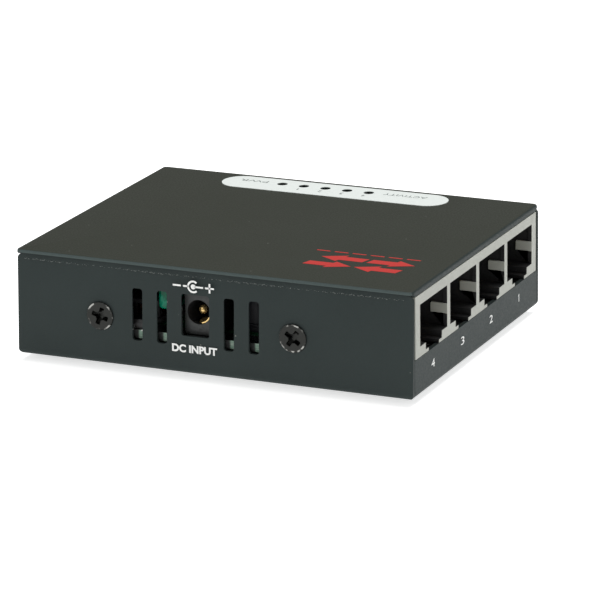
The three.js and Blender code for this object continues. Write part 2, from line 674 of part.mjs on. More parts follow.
function boardParts() {
  const magneticsX = jackBack - PART_GAP - MAGNETICS_SIZE[0] / 2;
  const magneticsY = MAGNETICS_SIZE[1] / 2 + PART_GAP;
  const chipX = magneticsX - MAGNETICS_SIZE[0] / 2 - PART_GAP - CHIP_LEAD_REACH - CHIP_SIZE[0] / 2;
  const chipY = 2;
  const crystalX = chipX - CHIP_SIZE[0] / 2 - CHIP_LEAD_REACH - PART_GAP - CRYSTAL_SIZE[0] / 2;
  const socketBackY = socketFaceY + SOCKET_DEPTH;
  const filmX = socketX - SOCKET_WIDTH / 2 - FILM_SOCKET_GAP - FILM_SIZE[0] / 2;
  const filmY = -innerSideY + FILM_WALL_GAP + FILM_SIZE[1] / 2;
  const canX = socketX + SOCKET_WIDTH / 2 + CAN_SOCKET_GAP + CAN_RADIUS;
  const canY = socketBackY - CAN_RADIUS;
  const rearCanY = socketBackY + PART_GAP + CAN_RADIUS;
  const powerX = filmX - FILM_SIZE[0] / 2 - PART_GAP - INDUCTOR_SIZE[0] / 2;
  const powerY = socketBackY - INDUCTOR_SIZE[1] / 2;
  const regulatorX = powerX;
  const regulatorY = powerY - INDUCTOR_SIZE[1] / 2 - PART_GAP - REGULATOR_SIZE[1] / 2;
  const diodeY = powerY + INDUCTOR_SIZE[1] / 2 + PART_GAP + DIODE_SIZE[1] / 2;
  const can = filterCan();
  const block = (size, x, y) => geometryOf(onBoard(x, y, size));
  return [
    named("switch_chip", switchChip(chipX, chipY), BLACK_PLASTIC),
    named("magnetics_1", block(MAGNETICS_SIZE, magneticsX, magneticsY), BLACK_PLASTIC),
    named("magnetics_2", block(MAGNETICS_SIZE, magneticsX, -magneticsY), BLACK_PLASTIC),
    named("crystal_can", block(CRYSTAL_SIZE, crystalX, chipY), NICKEL),
    named("power_inductor", block(INDUCTOR_SIZE, powerX, powerY), BLACK_PLASTIC),
    named("voltage_regulator", block(REGULATOR_SIZE, regulatorX, regulatorY), BLACK_PLASTIC),
    named("input_diode", block(DIODE_SIZE, powerX, diodeY), BLACK_PLASTIC),
    named("filter_capacitor_1", can, BLACK_PLASTIC, [canX, canY, boardTop + FIT]),
    named("filter_capacitor_2", can, BLACK_PLASTIC, [socketX, rearCanY, boardTop + FIT]),
    named("film_capacitor", filmCapacitor(filmX, filmY), FILM_GREEN),
  ];
}

// ---------------------------------------------------------------------------------------------
// Network sockets
// ---------------------------------------------------------------------------------------------

// The space that one socket takes out of the housing, about its own middle plane y = 0.
function portSpace() {
  const out = endX + OVERRUN;
  const half = PORT_WIDTH / 2;
  const wide = half + CAVITY_WIDENING;
  const lip = endX - MOUTH_LIP;
  const back = endX - CAVITY_DEPTH;
  const mouth = box([lip - LAP, -half, mouthFloorZ], [out, half, mouthTopZ]);
  const cavity = box([back, -wide, mouthFloorZ], [lip, wide, mouthTopZ + CAVITY_RISE]);
  const ribFloor = mouthFloorZ + RIB_FLOOR;
  const ribs = [-1, 1].map((side) => {
    const [y0, y1] = side > 0 ? [half, wide + OVERRUN] : [-wide - OVERRUN, -half];
    return box([endX - RIB_DEPTH, y0, ribFloor], [out, y1, ribFloor + RIB_HEIGHT]);
  });
  const wideSlot = box(
    [endX - LATCH_DEPTH, -LATCH_WIDE / 2, jackBottom + LATCH_STEP],
    [out, LATCH_WIDE / 2, mouthFloorZ + LAP],
  );
  const narrowSlot = box(
    [endX - LATCH_NARROW_DEPTH, -LATCH_NARROW / 2, jackBottom - OVERRUN],
    [out, LATCH_NARROW / 2, jackBottom + LATCH_STEP + LAP],
  );
  const pocketHalf = INSERT_WIDTH / 2 + RUNNING_CLEARANCE;
  const pocket = box(
    [jackBack - OVERRUN, -pocketHalf, jackBottom - OVERRUN],
    [back + LAP, pocketHalf, mouthTopZ + CAVITY_RISE],
  );
  return joined([mouth, cut(cavity, ribs), wideSlot, narrowSlot, pocket]);
}

function jackHousing() {
  const half = jackWidth / 2;
  const padZ = boardTop + FIT;
  const block = box([jackBack, -half, jackBottom], [endX, half, jackTop]);
  const space = geometryOf(portSpace());
  const spaces = portYs.map((y) => solid(space.clone().translate(0, y, 0)));
  const pads = [jackBack, innerEndX - BOARD_FIT - JACK_PAD_LENGTH].flatMap((x) =>
    [-half, half - JACK_END_WALL].map((y) =>
      box([x, y, padZ], [x + JACK_PAD_LENGTH, y + JACK_END_WALL, jackBottom + LAP]),
    ),
  );
  return geometryOf(joined([cut(block, spaces), ...pads]));
}

// Upright block at the back of a socket, a shelf over the wires, and a comb that keeps them apart.
function contactInsert() {
  const back = endX - CAVITY_DEPTH;
  const top = mouthTopZ + CAVITY_RISE - RUNNING_CLEARANCE;
  const shelfBottom = top - SHELF_THICKNESS;
  const half = INSERT_WIDTH / 2;
  const combHalf = (CONTACTS * CONTACT_PITCH + COMB_WALL) / 2;
  const bottom = jackBottom + RUNNING_CLEARANCE;
  const block = box([back - INSERT_BACK, -half, bottom], [back - RUNNING_CLEARANCE, half, top]);
  const shelfFront = pivotX - CONTACT_BAR_RADIUS - SHELF_GAP;
  const shelf = box([back - OVERRUN, -combHalf, shelfBottom], [shelfFront, combHalf, top]);
  const walls = Array.from({ length: CONTACTS + 1 }, (_, i) => {
    const y = (i - CONTACTS / 2) * CONTACT_PITCH;
    const low = [back - OVERRUN, y - COMB_WALL / 2, shelfBottom - COMB_HEIGHT];
    return box(low, [combFrontX, y + COMB_WALL / 2, shelfBottom + LAP]);
  });
  return geometryOf(joined([block, shelf, ...walls]));
}

// Eight sprung wires on the bar that they bend over. The bar's middle is the mesh's origin.
function sprungContacts() {
  const half = ((CONTACTS - 1) * CONTACT_PITCH + CONTACT_WIDTH) / 2;
  const bar = coneY(0, 0, -half, CONTACT_BAR_RADIUS, half, CONTACT_BAR_RADIUS, 12);
  const wire = new THREE.Shape([
    new THREE.Vector2(0, CONTACT_THICKNESS / 2),
    new THREE.Vector2(-CONTACT_REACH, -CONTACT_DROP + CONTACT_THICKNESS / 2),
    new THREE.Vector2(-CONTACT_REACH, -CONTACT_DROP - CONTACT_THICKNESS / 2),
    new THREE.Vector2(0, -CONTACT_THICKNESS / 2),
  ]);
  const wires = Array.from({ length: CONTACTS }, (_, i) => {
    const y = (i - (CONTACTS - 1) / 2) * CONTACT_PITCH;
    return prismY(wire, y - CONTACT_WIDTH / 2, y + CONTACT_WIDTH / 2);
  });
  return geometryOf(joined([bar, ...wires]));
}

function networkSockets() {
  const insert = contactInsert();
  const wires = sprungContacts();
  return [
    named("jack_housing", jackHousing(), JACK_GREY),
    ...portYs.flatMap((y, i) => [
      named(`port_${i + 1}_insert`, insert, BLACK_PLASTIC, [0, y, 0]),
      named(`port_${i + 1}_contacts`, wires, GOLD, [pivotX, y, pivotZ]),
    ]),
  ];
}

// ---------------------------------------------------------------------------------------------
// Power socket. Its own frame has the bore's mouth at the origin, with the bore running along +Y.
// ---------------------------------------------------------------------------------------------

function socketBody() {
  const bottom = boardTop + FIT - socketAxisZ;
  const body = prismY(
    roundedRectangle(-SOCKET_WIDTH / 2, bottom, SOCKET_WIDTH / 2, SOCKET_TOP_RISE, 0.2, 0.6),
    0,
    SOCKET_DEPTH,
  );
  const bore = coneY(0, 0, -OVERRUN, BORE_RADIUS, BORE_DEPTH, BORE_RADIUS);
  const pinSeat = PIN_ROOT_RADIUS + FIT;
  const pinHole = coneY(0, 0, BORE_DEPTH - LAP, pinSeat, SOCKET_DEPTH + OVERRUN, pinSeat, ROUND);
  const slotHalf = LEAF_WIDTH / 2 + LEAF_SLOT_CLEARANCE;
  const slotBack = LEAF_ROOT_DEPTH + RUNNING_CLEARANCE;
  const slotFront = LEAF_TIP_DEPTH - LEAF_TIP_CLEARANCE;
  const slot = box([-slotHalf, slotFront, bottom - OVERRUN], [slotHalf, slotBack, -PIN_ROOT_RADIUS]);
  return geometryOf(cut(body, [bore, pinHole, slot]));
}

function centrePin() {
  const tip = PIN_SETBACK + PIN_RADIUS;
  const profile = [
    ...arcPoints(0, tip, PIN_RADIUS, -0.5 * Math.PI, 0, 4),
    [PIN_RADIUS, BORE_DEPTH - 3 * LAP],
    [PIN_ROOT_RADIUS, BORE_DEPTH - 2 * LAP],
    [PIN_ROOT_RADIUS, SOCKET_DEPTH - FIT],
    [0, SOCKET_DEPTH - FIT],
  ];
  profile[0][0] = 0;
  return turnedY(profile, ROUND);
}

function springLeaf() {
  const topLine = [
    [LEAF_ROOT_DEPTH, -LEAF_ROOT_DROP],
    [LEAF_APEX_DEPTH + LEAF_CROWN, -LEAF_APEX_DROP - LEAF_CROWN / 8],
    [LEAF_APEX_DEPTH, -LEAF_APEX_DROP],
    [LEAF_APEX_DEPTH - LEAF_CROWN, -LEAF_APEX_DROP - LEAF_CROWN / 6],
    [LEAF_TIP_DEPTH, -LEAF_TIP_DROP],
  ];
  const underLine = topLine.map(([depth, drop]) => [depth, drop - LEAF_THICKNESS]).reverse();
  const outline = new THREE.Shape([...topLine, ...underLine].map((point) => new THREE.Vector2(...point)));
  return geometryOf(prismX(outline, -LEAF_WIDTH / 2, LEAF_WIDTH / 2));
}

function powerSocket() {
  const group = new THREE.Group();
  group.position.set(socketX, socketFaceY, socketAxisZ);
  group.add(
    named("power_socket_body", socketBody(), BLACK_PLASTIC),
    named("power_socket_pin", centrePin(), GOLD),
    named("power_socket_spring", springLeaf(), GOLD),
  );
  return group;
}

// ---------------------------------------------------------------------------------------------
// Indicators
// ---------------------------------------------------------------------------------------------

function indicatorLabel() {
  const shape = roundedRectangle(
    LABEL_X - LABEL_LENGTH / 2,
    labelY - LABEL_WIDTH / 2,
    LABEL_X + LABEL_LENGTH / 2,
    labelY + LABEL_WIDTH / 2,
    LABEL_WIDTH / 2,
  );
  const blank = prism(shape, LABEL_THICKNESS, axes([1, 0, 0], [0, 1, 0], [0, 0, 1], [0, 0, caseHeight]), 14);
  const holes = ledXs.map((x) =>
    coneZ(x, ledY, coverUnderside, LABEL_HOLE_RADIUS, caseHeight + OVERRUN, LABEL_HOLE_RADIUS, FINE_ROUND),
  );
  return geometryOf(cut(blank, holes));
}

function indicators() {
  const tipZ = coverUnderside - LED_TIP_GAP;
  const ledZ = tipZ - LED_BODY_HEIGHT;
  const shoulder = LED_BODY_HEIGHT - LED_RADIUS;
  const lamp = turnedZ(
    [
      [0, 0],
      [LED_FLANGE_RADIUS, 0],
      [LED_FLANGE_RADIUS, LED_FLANGE_HEIGHT],
      [LED_RADIUS, LED_FLANGE_HEIGHT],
      ...arcPoints(0, shoulder, LED_RADIUS, 0, 0.5 * Math.PI, 6).map(([r, h]) => [Math.max(0, r), h]),
    ],
    ROUND,
  );
  const spacerHeight = ledZ - FIT - (boardTop + FIT);
  const spacer = turnedZ(
    [
      [SPACER_BORE_RADIUS, 0],
      [LED_FLANGE_RADIUS, 0],
      [LED_FLANGE_RADIUS, spacerHeight],
      [SPACER_BORE_RADIUS, spacerHeight],
      [SPACER_BORE_RADIUS, 0],
    ],
    ROUND,
  );
  return ledXs.flatMap((x, i) => [
    named(`led_${i + 1}`, lamp, LED_GREEN, [x, ledY, ledZ]),
    named(`led_spacer_${i + 1}`, spacer, BLACK_PLASTIC, [x, ledY, boardTop + FIT]),
  ]);
}

// ---------------------------------------------------------------------------------------------
// The whole switch
// ---------------------------------------------------------------------------------------------

const networkSwitch = new THREE.Group();
networkSwitch.position.z = FOOT_HEIGHT;
networkSwitch.add(
  named("base_tray", baseTray(), PAINT),
  named("top_cover", topCover(), PAINT),
  named("indicator_label", indicatorLabel(), LABEL_WHITE),
  named("circuit_board", circuitBoard(), BOARD_GREEN),
  ...rubberFeet(),
  ...caseScrews(),
  ...boardFixings(),
  ...boardParts(),
  ...networkSockets(),
  ...indicators(),
  powerSocket(),
);

export default networkSwitch;
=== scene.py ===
"""Looks of a pocket-size desktop network switch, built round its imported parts.

Lengths inside the functions are millimetres in the part's own frame: X runs towards the network
sockets, Y away from the wall with the power inlet, Z up from the surface that the feet stand on.
"""

import math

import bmesh
import bpy
import numpy as np
from mathutils import Matrix, Vector


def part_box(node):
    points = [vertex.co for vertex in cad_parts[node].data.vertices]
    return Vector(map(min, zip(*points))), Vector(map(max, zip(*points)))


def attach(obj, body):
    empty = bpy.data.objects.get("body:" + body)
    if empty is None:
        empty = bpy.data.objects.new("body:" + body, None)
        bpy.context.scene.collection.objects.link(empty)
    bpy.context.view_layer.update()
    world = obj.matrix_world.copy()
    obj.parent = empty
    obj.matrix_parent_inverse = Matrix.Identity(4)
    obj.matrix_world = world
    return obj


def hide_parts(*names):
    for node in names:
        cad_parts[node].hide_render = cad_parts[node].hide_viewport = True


bl_info = {
    "name": "Desktop Network Switch",
    "version": (1, 0, 0),
    "blender": (4, 5, 0),
    "location": "3D View > Sidebar > Switch",
    "description": "Builds the visible pieces and finishes of a small desktop network switch",
    "category": "Object",
}

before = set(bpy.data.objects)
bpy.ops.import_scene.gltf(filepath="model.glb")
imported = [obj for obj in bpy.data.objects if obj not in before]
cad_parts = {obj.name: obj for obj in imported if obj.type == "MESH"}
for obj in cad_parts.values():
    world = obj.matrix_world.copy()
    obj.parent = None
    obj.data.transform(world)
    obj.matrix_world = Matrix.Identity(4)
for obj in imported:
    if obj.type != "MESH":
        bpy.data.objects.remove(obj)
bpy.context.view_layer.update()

MM = 0.001
SHARP = math.radians(35)  # edges beyond this angle stay sharp
PORTS = range(1, 5)
LAMPS = range(1, 6)
TURN = 2 * math.pi


def span(node):
    """Lowest and highest corners of a CAD node, in millimetres."""
    low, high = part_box(node)
    return np.array(low) / MM, np.array(high) / MM


def middle(node):
    low, high = span(node)
    return (low + high) / 2


def stand(node):
    """A CAD node's half sizes, its height and the middle of its underside."""
    low, high = span(node)
    return (high - low) / 2, high[2] - low[2], np.array([*middle(node)[:2], low[2]])


def tinted(colour, by):
    """A colour made darker or lighter."""
    return tuple(part * by for part in colour)


def signed_power(value, exponent):
    return np.sign(value) * np.abs(value) ** exponent


# ---- Surfaces: each returns (points, faces), with faces as rows of corner numbers ----


def polar(r, a, *heights):
    """Points at x = r cos a and y = r sin a, with a height if one is given."""
    return np.stack(np.broadcast_arrays(r * np.cos(a), r * np.sin(a), *heights), -1)


def grid_faces(rows, columns):
    """Quads between neighbouring rows, where each row is a ring that closes on itself."""
    i, j = np.meshgrid(np.arange(rows - 1), np.arange(columns), indexing="ij")
    k = (j + 1) % columns
    corners = [i * columns + j, i * columns + k, (i + 1) * columns + k, (i + 1) * columns + j]
    return np.stack(corners, -1).reshape(-1, 4)


def turned(profile, sides=48, wave=None):
    """A (radius, height) profile carried round the Z axis: x = r cos a, y = r sin a, z = h.

    wave(a, h), if given, is added to the radius at angle a and height h.
    """
    r, h = (column[:, None] for column in np.array(profile, float).T)
    a = np.linspace(0, TURN, sides, endpoint=False)[None, :]
    radius = r + (wave(a, h) if wave else 0) * (r > 0)
    return polar(radius, a, h).reshape(-1, 3), grid_faces(len(r), sides)


def outline(half_x, half_y, radius, steps):
    """A rounded rectangle: four quarter circles of the radius about its inset corners."""
    radius = min(radius, half_x, half_y)
    a = (np.linspace(0, TURN / 4, steps) + np.arange(4)[:, None] * TURN / 4).ravel()
    x = np.repeat([1, -1, -1, 1], steps) * (half_x - radius) + radius * np.cos(a)
    y = np.repeat([1, 1, -1, -1], steps) * (half_y - radius) + radius * np.sin(a)
    return np.stack([x, y], -1)


def stacked(half_x, half_y, radius, profile, steps=6):
    """A rounded rectangle carried up a profile of (inset, height): each ring is drawn in by its
    inset, and the first and last rings are closed by a fan from their middles."""
    rings = []
    for inset, height in profile:
        ring = outline(half_x - inset, half_y - inset, max(radius - inset, 0.02), steps)
        rings.append(np.column_stack([ring, np.full(len(ring), height)]))
    count = len(rings[0])
    caps = [np.tile([[0, 0, profile[end][1]]], (count, 1)) for end in (0, -1)]
    points = np.concatenate([caps[0], *rings, caps[1]])
    return points, grid_faces(len(rings) + 2, count)


def swept(path, section, across):
    """A closed section carried along a path: point = path + s1 * side + s2 * up, where up is the
    path's direction crossed with across, and side is up crossed with that direction."""
    path, section = np.array(path, float), np.array(section, float)
    along = np.gradient(path, axis=0)
    along /= np.linalg.norm(along, axis=1, keepdims=True)
    up = np.cross(along, np.broadcast_to(np.array(across, float), along.shape))
    up /= np.linalg.norm(up, axis=1, keepdims=True)
    side = np.cross(up, along)
    rings = path[:, None] + section[:, :1] * side[:, None] + section[:, 1:] * up[:, None]
    first, last = (np.repeat(path[end][None, None], len(section), 1) for end in (0, -1))
    points = np.concatenate([first, rings, last])
    return points.reshape(-1, 3), grid_faces(len(path) + 2, len(section))


def oval(width, height, count, power):
    """A section between an ellipse and a rectangle: |2x/w|^p + |2y/h|^p = 1."""
    a = np.linspace(0, TURN, count, endpoint=False) + TURN / count / 2
    x, y = signed_power(np.cos(a), 2 / power), signed_power(np.sin(a), 2 / power)
    return np.stack([x * width / 2, y * height / 2], -1)


def eased(corners, count, reach):
    """A line through corner points whose bends are rounded by a running mean."""
    corners = np.array(corners, float)
    run = np.append(0, np.cumsum(np.linalg.norm(np.diff(corners, axis=0), axis=1)))
    even = np.linspace(0, run[-1], count)
    line = np.stack([np.interp(even, run, c) for c in corners.T], -1)
    padded = np.concatenate([np.repeat(line[:1], reach, 0), line, np.repeat(line[-1:], reach, 0)])
    window = np.ones(2 * reach + 1) / (2 * reach + 1)
    mean = np.stack([np.convolve(c, window, "valid") for c in padded.T], -1)
    mean[0], mean[-1] = line[0], line[-1]
    return mean


def moved(surface, by=(0, 0, 0), axes=None):
    """A surface whose x, y and z are laid along three new axes and then shifted."""
    points, faces = surface
    if axes is not None:
        points = points @ np.array(axes, float)
    return points + np.array(by, float), faces


def together(surfaces):
    """Several surfaces as one."""
    points, faces, start = [], [], 0
    for some_points, some_faces in surfaces:
        points.append(some_points)
        faces += [[int(corner) + start for corner in face] for face in some_faces]
        start += len(some_points)
    return np.concatenate(points), faces


def copies(surface, places):
    """One surface at many places, as one."""
    points, faces = surface
    places = np.array(places, float)
    many = points[None] + places[:, None]
    steps = np.arange(len(places))[:, None, None] * len(points)
    return many.reshape(-1, 3), (np.asarray(faces)[None] + steps).reshape(-1, np.shape(faces)[1])


# Axes for moved(): where a surface's own x, y and z go
UPRIGHT_FRONT = [(1, 0, 0), (0, 0, 1), (0, -1, 0)]  # drawn on the wall with the power inlet
UPRIGHT_BACK = [(-1, 0, 0), (0, 0, 1), (0, 1, 0)]
UPRIGHT_END = [(0, 1, 0), (0, 0, 1), (1, 0, 0)]  # drawn on the end with the network sockets
READ_FROM_BACK = [(-1, 0, 0), (0, -1, 0), (0, 0, 1)]  # drawn on the cover


# ---- Objects ----


def piece(name, surface, look, node=None, body="case", crease=SHARP, slotted=True):
    """Makes a named object of a surface in millimetres, in place of a CAD node if one is named.

    Doubled points are merged, faces point outwards and edges beyond the crease are sharp.
    """
    points, faces = surface
    mesh = bpy.data.meshes.new(name)
    mesh.from_pydata((points * MM).tolist(), [], [list(map(int, face)) for face in faces])
    mesh.materials.append(finish(look))
    shape = bmesh.new()
    shape.from_mesh(mesh)
    bmesh.ops.remove_doubles(shape, verts=shape.verts, dist=1e-7)
    bmesh.ops.dissolve_degenerate(shape, edges=shape.edges, dist=1e-8)
    bmesh.ops.recalc_face_normals(shape, faces=shape.faces)
    shape.to_mesh(mesh)
    shape.free()
    mesh.shade_smooth()
    mesh.set_sharp_from_angle(angle=crease)
    slot = SLOTS.get(look) if slotted else None
    settle(bpy.data.objects.new(name, mesh), slot, node, body)


def settle(made, slot, node, body="case"):
    """Puts an object in the scene, on its body and in place of its CAD node; its slot is not used.
    """
    bpy.context.scene.collection.objects.link(made)
    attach(made, body)
    if node:
        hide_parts(node)


def softened(node, name, look, edge, second=None, choose=None, carve=None):
    """A merged copy of a CAD node with its flat faces joined and its edges rounded.

    choose(centres, normals) says which faces have the second finish, and carve(shape) may work on
    the joined faces first.
    """
    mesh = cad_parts[node].data.copy()
    mesh.name = name
    shape = bmesh.new()
    shape.from_mesh(mesh)
    bmesh.ops.remove_doubles(shape, verts=shape.verts, dist=1e-6)
    bmesh.ops.dissolve_limit(
        shape, angle_limit=math.radians(0.5), verts=shape.verts, edges=shape.edges
    )
    if carve:
        carve(shape)
    shape.to_mesh(mesh)
    shape.free()
    for layer in ("custom_normal", "sharp_edge", "sharp_face"):
        if layer in mesh.attributes:
            mesh.attributes.remove(mesh.attributes[layer])
    mesh.materials.clear()
    mesh.materials.append(finish(look))
    count = len(mesh.polygons)
    number = np.zeros(count, np.int32)
    if choose:
        mesh.materials.append(finish(second))
        centres, normals = np.zeros(3 * count, np.float32), np.zeros(3 * count, np.float32)
        mesh.polygons.foreach_get("center", centres)
        mesh.polygons.foreach_get("normal", normals)
        number = choose(centres.reshape(-1, 3) / MM, normals.reshape(-1, 3)).astype(np.int32)
    mesh.polygons.foreach_set("material_index", number)
    mesh.shade_smooth()
    mesh.set_sharp_from_angle(angle=SHARP)
    made = bpy.data.objects.new(name, mesh)
    if edge:
        bevel = made.modifiers.new("rounded_edges", "BEVEL")
        bevel.width = edge * MM
        bevel.segments = 2
        bevel.limit_method = "ANGLE"
        bevel.angle_limit = SHARP
        bevel.use_clamp_overlap = False
        bevel.harden_normals = True
    settle(made, SLOTS[look], node)


def lettering(words, length, height, thickness, weight=0.0):
    """Letters about their own middle, stretched to a length, a height and a thickness."""
    curve = bpy.data.curves.new("letters", "FONT")
    curve.body = words
    curve.extrude = 0.05
    curve.offset = weight
    curve.resolution_u = 5
    curve.align_x = "CENTER"
    holder = bpy.data.objects.new("letters", curve)
    bpy.context.scene.collection.objects.link(holder)
    drawn = bpy.data.meshes.new_from_object(
        holder.evaluated_get(bpy.context.evaluated_depsgraph_get())
    )
    points = np.array([vertex.co for vertex in drawn.vertices])
    faces = [list(face.vertices) for face in drawn.polygons]
    bpy.data.objects.remove(holder)
    bpy.data.curves.remove(curve)
    bpy.data.meshes.remove(drawn)
    low, high = points.min(0), points.max(0)
    points = (points - (low + high) / 2) / (high - low) * (length, height, thickness)
    return points, faces


def stroke(line, width, thickness):
    """A pen stroke of constant width along a flat line in the XY plane."""
    line = np.column_stack([np.array(line, float), np.zeros(len(line))])
    flat, deep = thickness / 2, width / 2
    return swept(line, [(-flat, -deep), (flat, -deep), (flat, deep), (-flat, deep)], (0, 0, 1))


# ---- Finishes ----


class Level:
    """A shader value. Python arithmetic on it adds the Math node that works it out."""

    def __init__(self, finish, socket):
        self.finish, self.socket = finish, socket

    def __add__(self, other):
        return self.finish.maths("ADD", self, other)

    def __sub__(self, other):
        return self.finish.maths("SUBTRACT", self, other)

    def __rsub__(self, other):
        return self.finish.maths("SUBTRACT", other, self)

    def __mul__(self, other):
        return self.finish.maths("MULTIPLY", self, other)

    def __truediv__(self, other):
        return self.finish.maths("DIVIDE", self, other)

    def __lt__(self, other):
        return self.finish.maths("LESS_THAN", self, other)

    __radd__, __rmul__ = __add__, __mul__


class Finish:
    """One material in the making."""

    def __init__(self, name):
        self.material = bpy.data.materials.new(name)
        self.material.use_nodes = True
        self.tree = self.material.node_tree
        self.tree.nodes.clear()

    def node(self, kind, settings=None, values=None, output=0):
        """Adds a node: its settings first, then a value or a link for each input."""
        made = self.tree.nodes.new(kind)
        for key, value in (settings or {}).items():
            setattr(made, key, value)
        for key, value in (values or {}).items():
            if isinstance(value, Level):
                self.tree.links.new(value.socket, made.inputs[key])
            else:
                colour = made.inputs[key].type == "RGBA" and len(value) == 3
                made.inputs[key].default_value = (*value, 1.0) if colour else value
        return Level(self, made.outputs[output])

    def at(self, axis=None):
        """Object coordinates, or one of them in millimetres."""
        where = self.node("ShaderNodeTexCoord", output="Object")
        if axis is None:
            return where
        return self.node("ShaderNodeSeparateXYZ", None, {0: where}, "XYZ".index(axis)) * (1 / MM)

    def noise(self, size, detail=3.0, rough=0.5, stretch=None):
        """Cloudy noise whose features are about size millimetres."""
        where = self.at()
        if stretch:
            where = self.node("ShaderNodeMapping", None, {"Vector": where, "Scale": stretch})
        values = {"Vector": where, "Scale": 1 / (size * MM), "Detail": detail, "Roughness": rough}
        return self.node("ShaderNodeTexNoise", None, values)

    def ramp(self, value, low, high, first=0.0, last=1.0):
        """Smoothly from first to last as the value goes from low to high."""
        settings = {"interpolation_type": "SMOOTHSTEP"}
        values = {0: value, 1: low, 2: high, 3: first, 4: last}
        return self.node("ShaderNodeMapRange", settings, values)

    def band(self, value, low, full, fade, high):
        """Smoothly from 0 to 1 between low and full, and back to 0 between fade and high."""
        return self.ramp(value, low, full) * self.ramp(value, high, fade)

    def gloss(self, pattern, low, high):
        """Roughness that goes from low to high with a noise pattern."""
        return self.ramp(pattern, 0.3, 0.7, low, high)

    def maths(self, operation, *terms):
        return self.node("ShaderNodeMath", {"operation": operation}, dict(enumerate(terms)))

    def size(self, value):
        return self.maths("ABSOLUTE", value)

    def dots(self, size, share, radius):
        """Round specks: near the middle of a share of the cells of a grid of that size."""
        values = {"Vector": self.at(), "Scale": 1 / (size * MM)}
        near = self.node("ShaderNodeTexVoronoi", None, values, "Distance")
        tint = self.node("ShaderNodeTexVoronoi", None, values, "Color")
        pick = self.node("ShaderNodeSeparateColor", None, {0: tint}, 0)
        return self.ramp(near, radius * 0.6, radius, 1.0, 0.0) * (pick < share)

    def mixed(self, share, first, second):
        """Colour that goes from first to second with the share."""
        values = {0: share, 6: first, 7: second}
        return self.node("ShaderNodeMix", {"data_type": "RGBA"}, values, 2)

    def bump(self, height, depth, under=None):
        """Relief whose full height is depth millimetres."""
        values = {"Height": height, "Distance": depth * MM, "Strength": 1.0}
        if under is not None:
            values["Normal"] = under
        return self.node("ShaderNodeBump", None, values)

    def done(self, **values):
        """Joins the values to a Principled shader; names are its inputs, with _ for spaces."""
        named = {key.replace("_", " "): value for key, value in values.items()}
        shader = self.node("ShaderNodeBsdfPrincipled", None, named)
        sink = self.tree.nodes.new("ShaderNodeOutputMaterial")
        self.tree.links.new(shader.socket, sink.inputs["Surface"])
        return self.material


def powder_coat(name, colour):
    """Fine-grained satin black coating, with dust and rougher paint along the wall's cut edges.
    Painted light: a warmer, lighter painted top, a painted highlight along the cover's rounded
    edge, painted shade in the seam under it, and pale painted glints on the rough paint.
    """
    f = Finish(name)
    grain, cloud = f.noise(0.32, 4, 0.6), f.noise(9.0)
    dust = f.dots(2.2, 0.14, 0.08)
    z = f.at("Z")
    wall_y, wall_top = span("base_tray")[1][1:]
    wall = f.ramp(f.size(f.at("Y")), wall_y - 0.4, wall_y - 0.25)
    rim = f.band(z, wall_top - 1.25, wall_top - 0.9, wall_top - 0.35, wall_top - 0.1) * wall
    seam_shade = f.band(z, wall_top - 0.16, wall_top - 0.04, wall_top + 0.24, wall_top + 0.34)
    fold_highlight = f.band(z, wall_top + 0.3, wall_top + 0.42, wall_top + 0.8, wall_top + 0.93)
    torn_paint_glint = f.ramp(f.noise(0.45, 4, 0.6), 0.5, 0.58) * rim
    lid_warm_light = f.ramp(z, wall_top + 0.85, wall_top + 0.95)
    tone = f.mixed(cloud, tinted(colour, 0.86), tinted(colour, 1.16))
    tone = f.mixed(grain * 0.5, tone, tinted(colour, 1.5))
    # Painted light: the cover's top is made warmer and lighter, as warm light from above would make
    # it.
    tone = f.mixed(lid_warm_light * 0.4, tone, (colour[0] * 1.9, colour[1] * 1.35, colour[2] * 0.75))
    # Painted highlight: a lighter band along the cover's rounded edge over the long walls.
    tone = f.mixed(fold_highlight * wall * (0.55 + 0.3 * grain), tone, tinted(colour, 3.2))
    # Painted shade: a dark line in the gap between the walls' top edges and the cover.
    tone = f.mixed(seam_shade * wall * 0.85, tone, tinted(colour, 0.1))
    # Rougher paint along the walls' top edges: its bump is real, and its specks are painted pale as
    # glints.
    tone = f.mixed(torn_paint_glint * 0.9, tone, (0.17, 0.19, 0.175))
    tone = f.mixed(dust * 0.75, tone, (0.2, 0.21, 0.19))
    return f.done(Base_Color=tone, Roughness=f.gloss(grain, 0.4, 0.56), Specular_IOR_Level=0.09,
                  Normal=f.bump(grain, 0.012, f.bump(torn_paint_glint, 0.12)))


def moulded(name, colour, grain=0.45, depth=0.006, rough=(0.38, 0.55)):
    """Moulded plastic: spark-eroded grain, cloudy tone and patchy gloss."""
    f = Finish(name)
    fine = f.noise(grain, 3, 0.55)
    tone = f.mixed(f.noise(6.0, 2), tinted(colour, 0.88), tinted(colour, 1.12))
    return f.done(Base_Color=tone, Roughness=f.gloss(fine, *rough), Normal=f.bump(fine, depth))


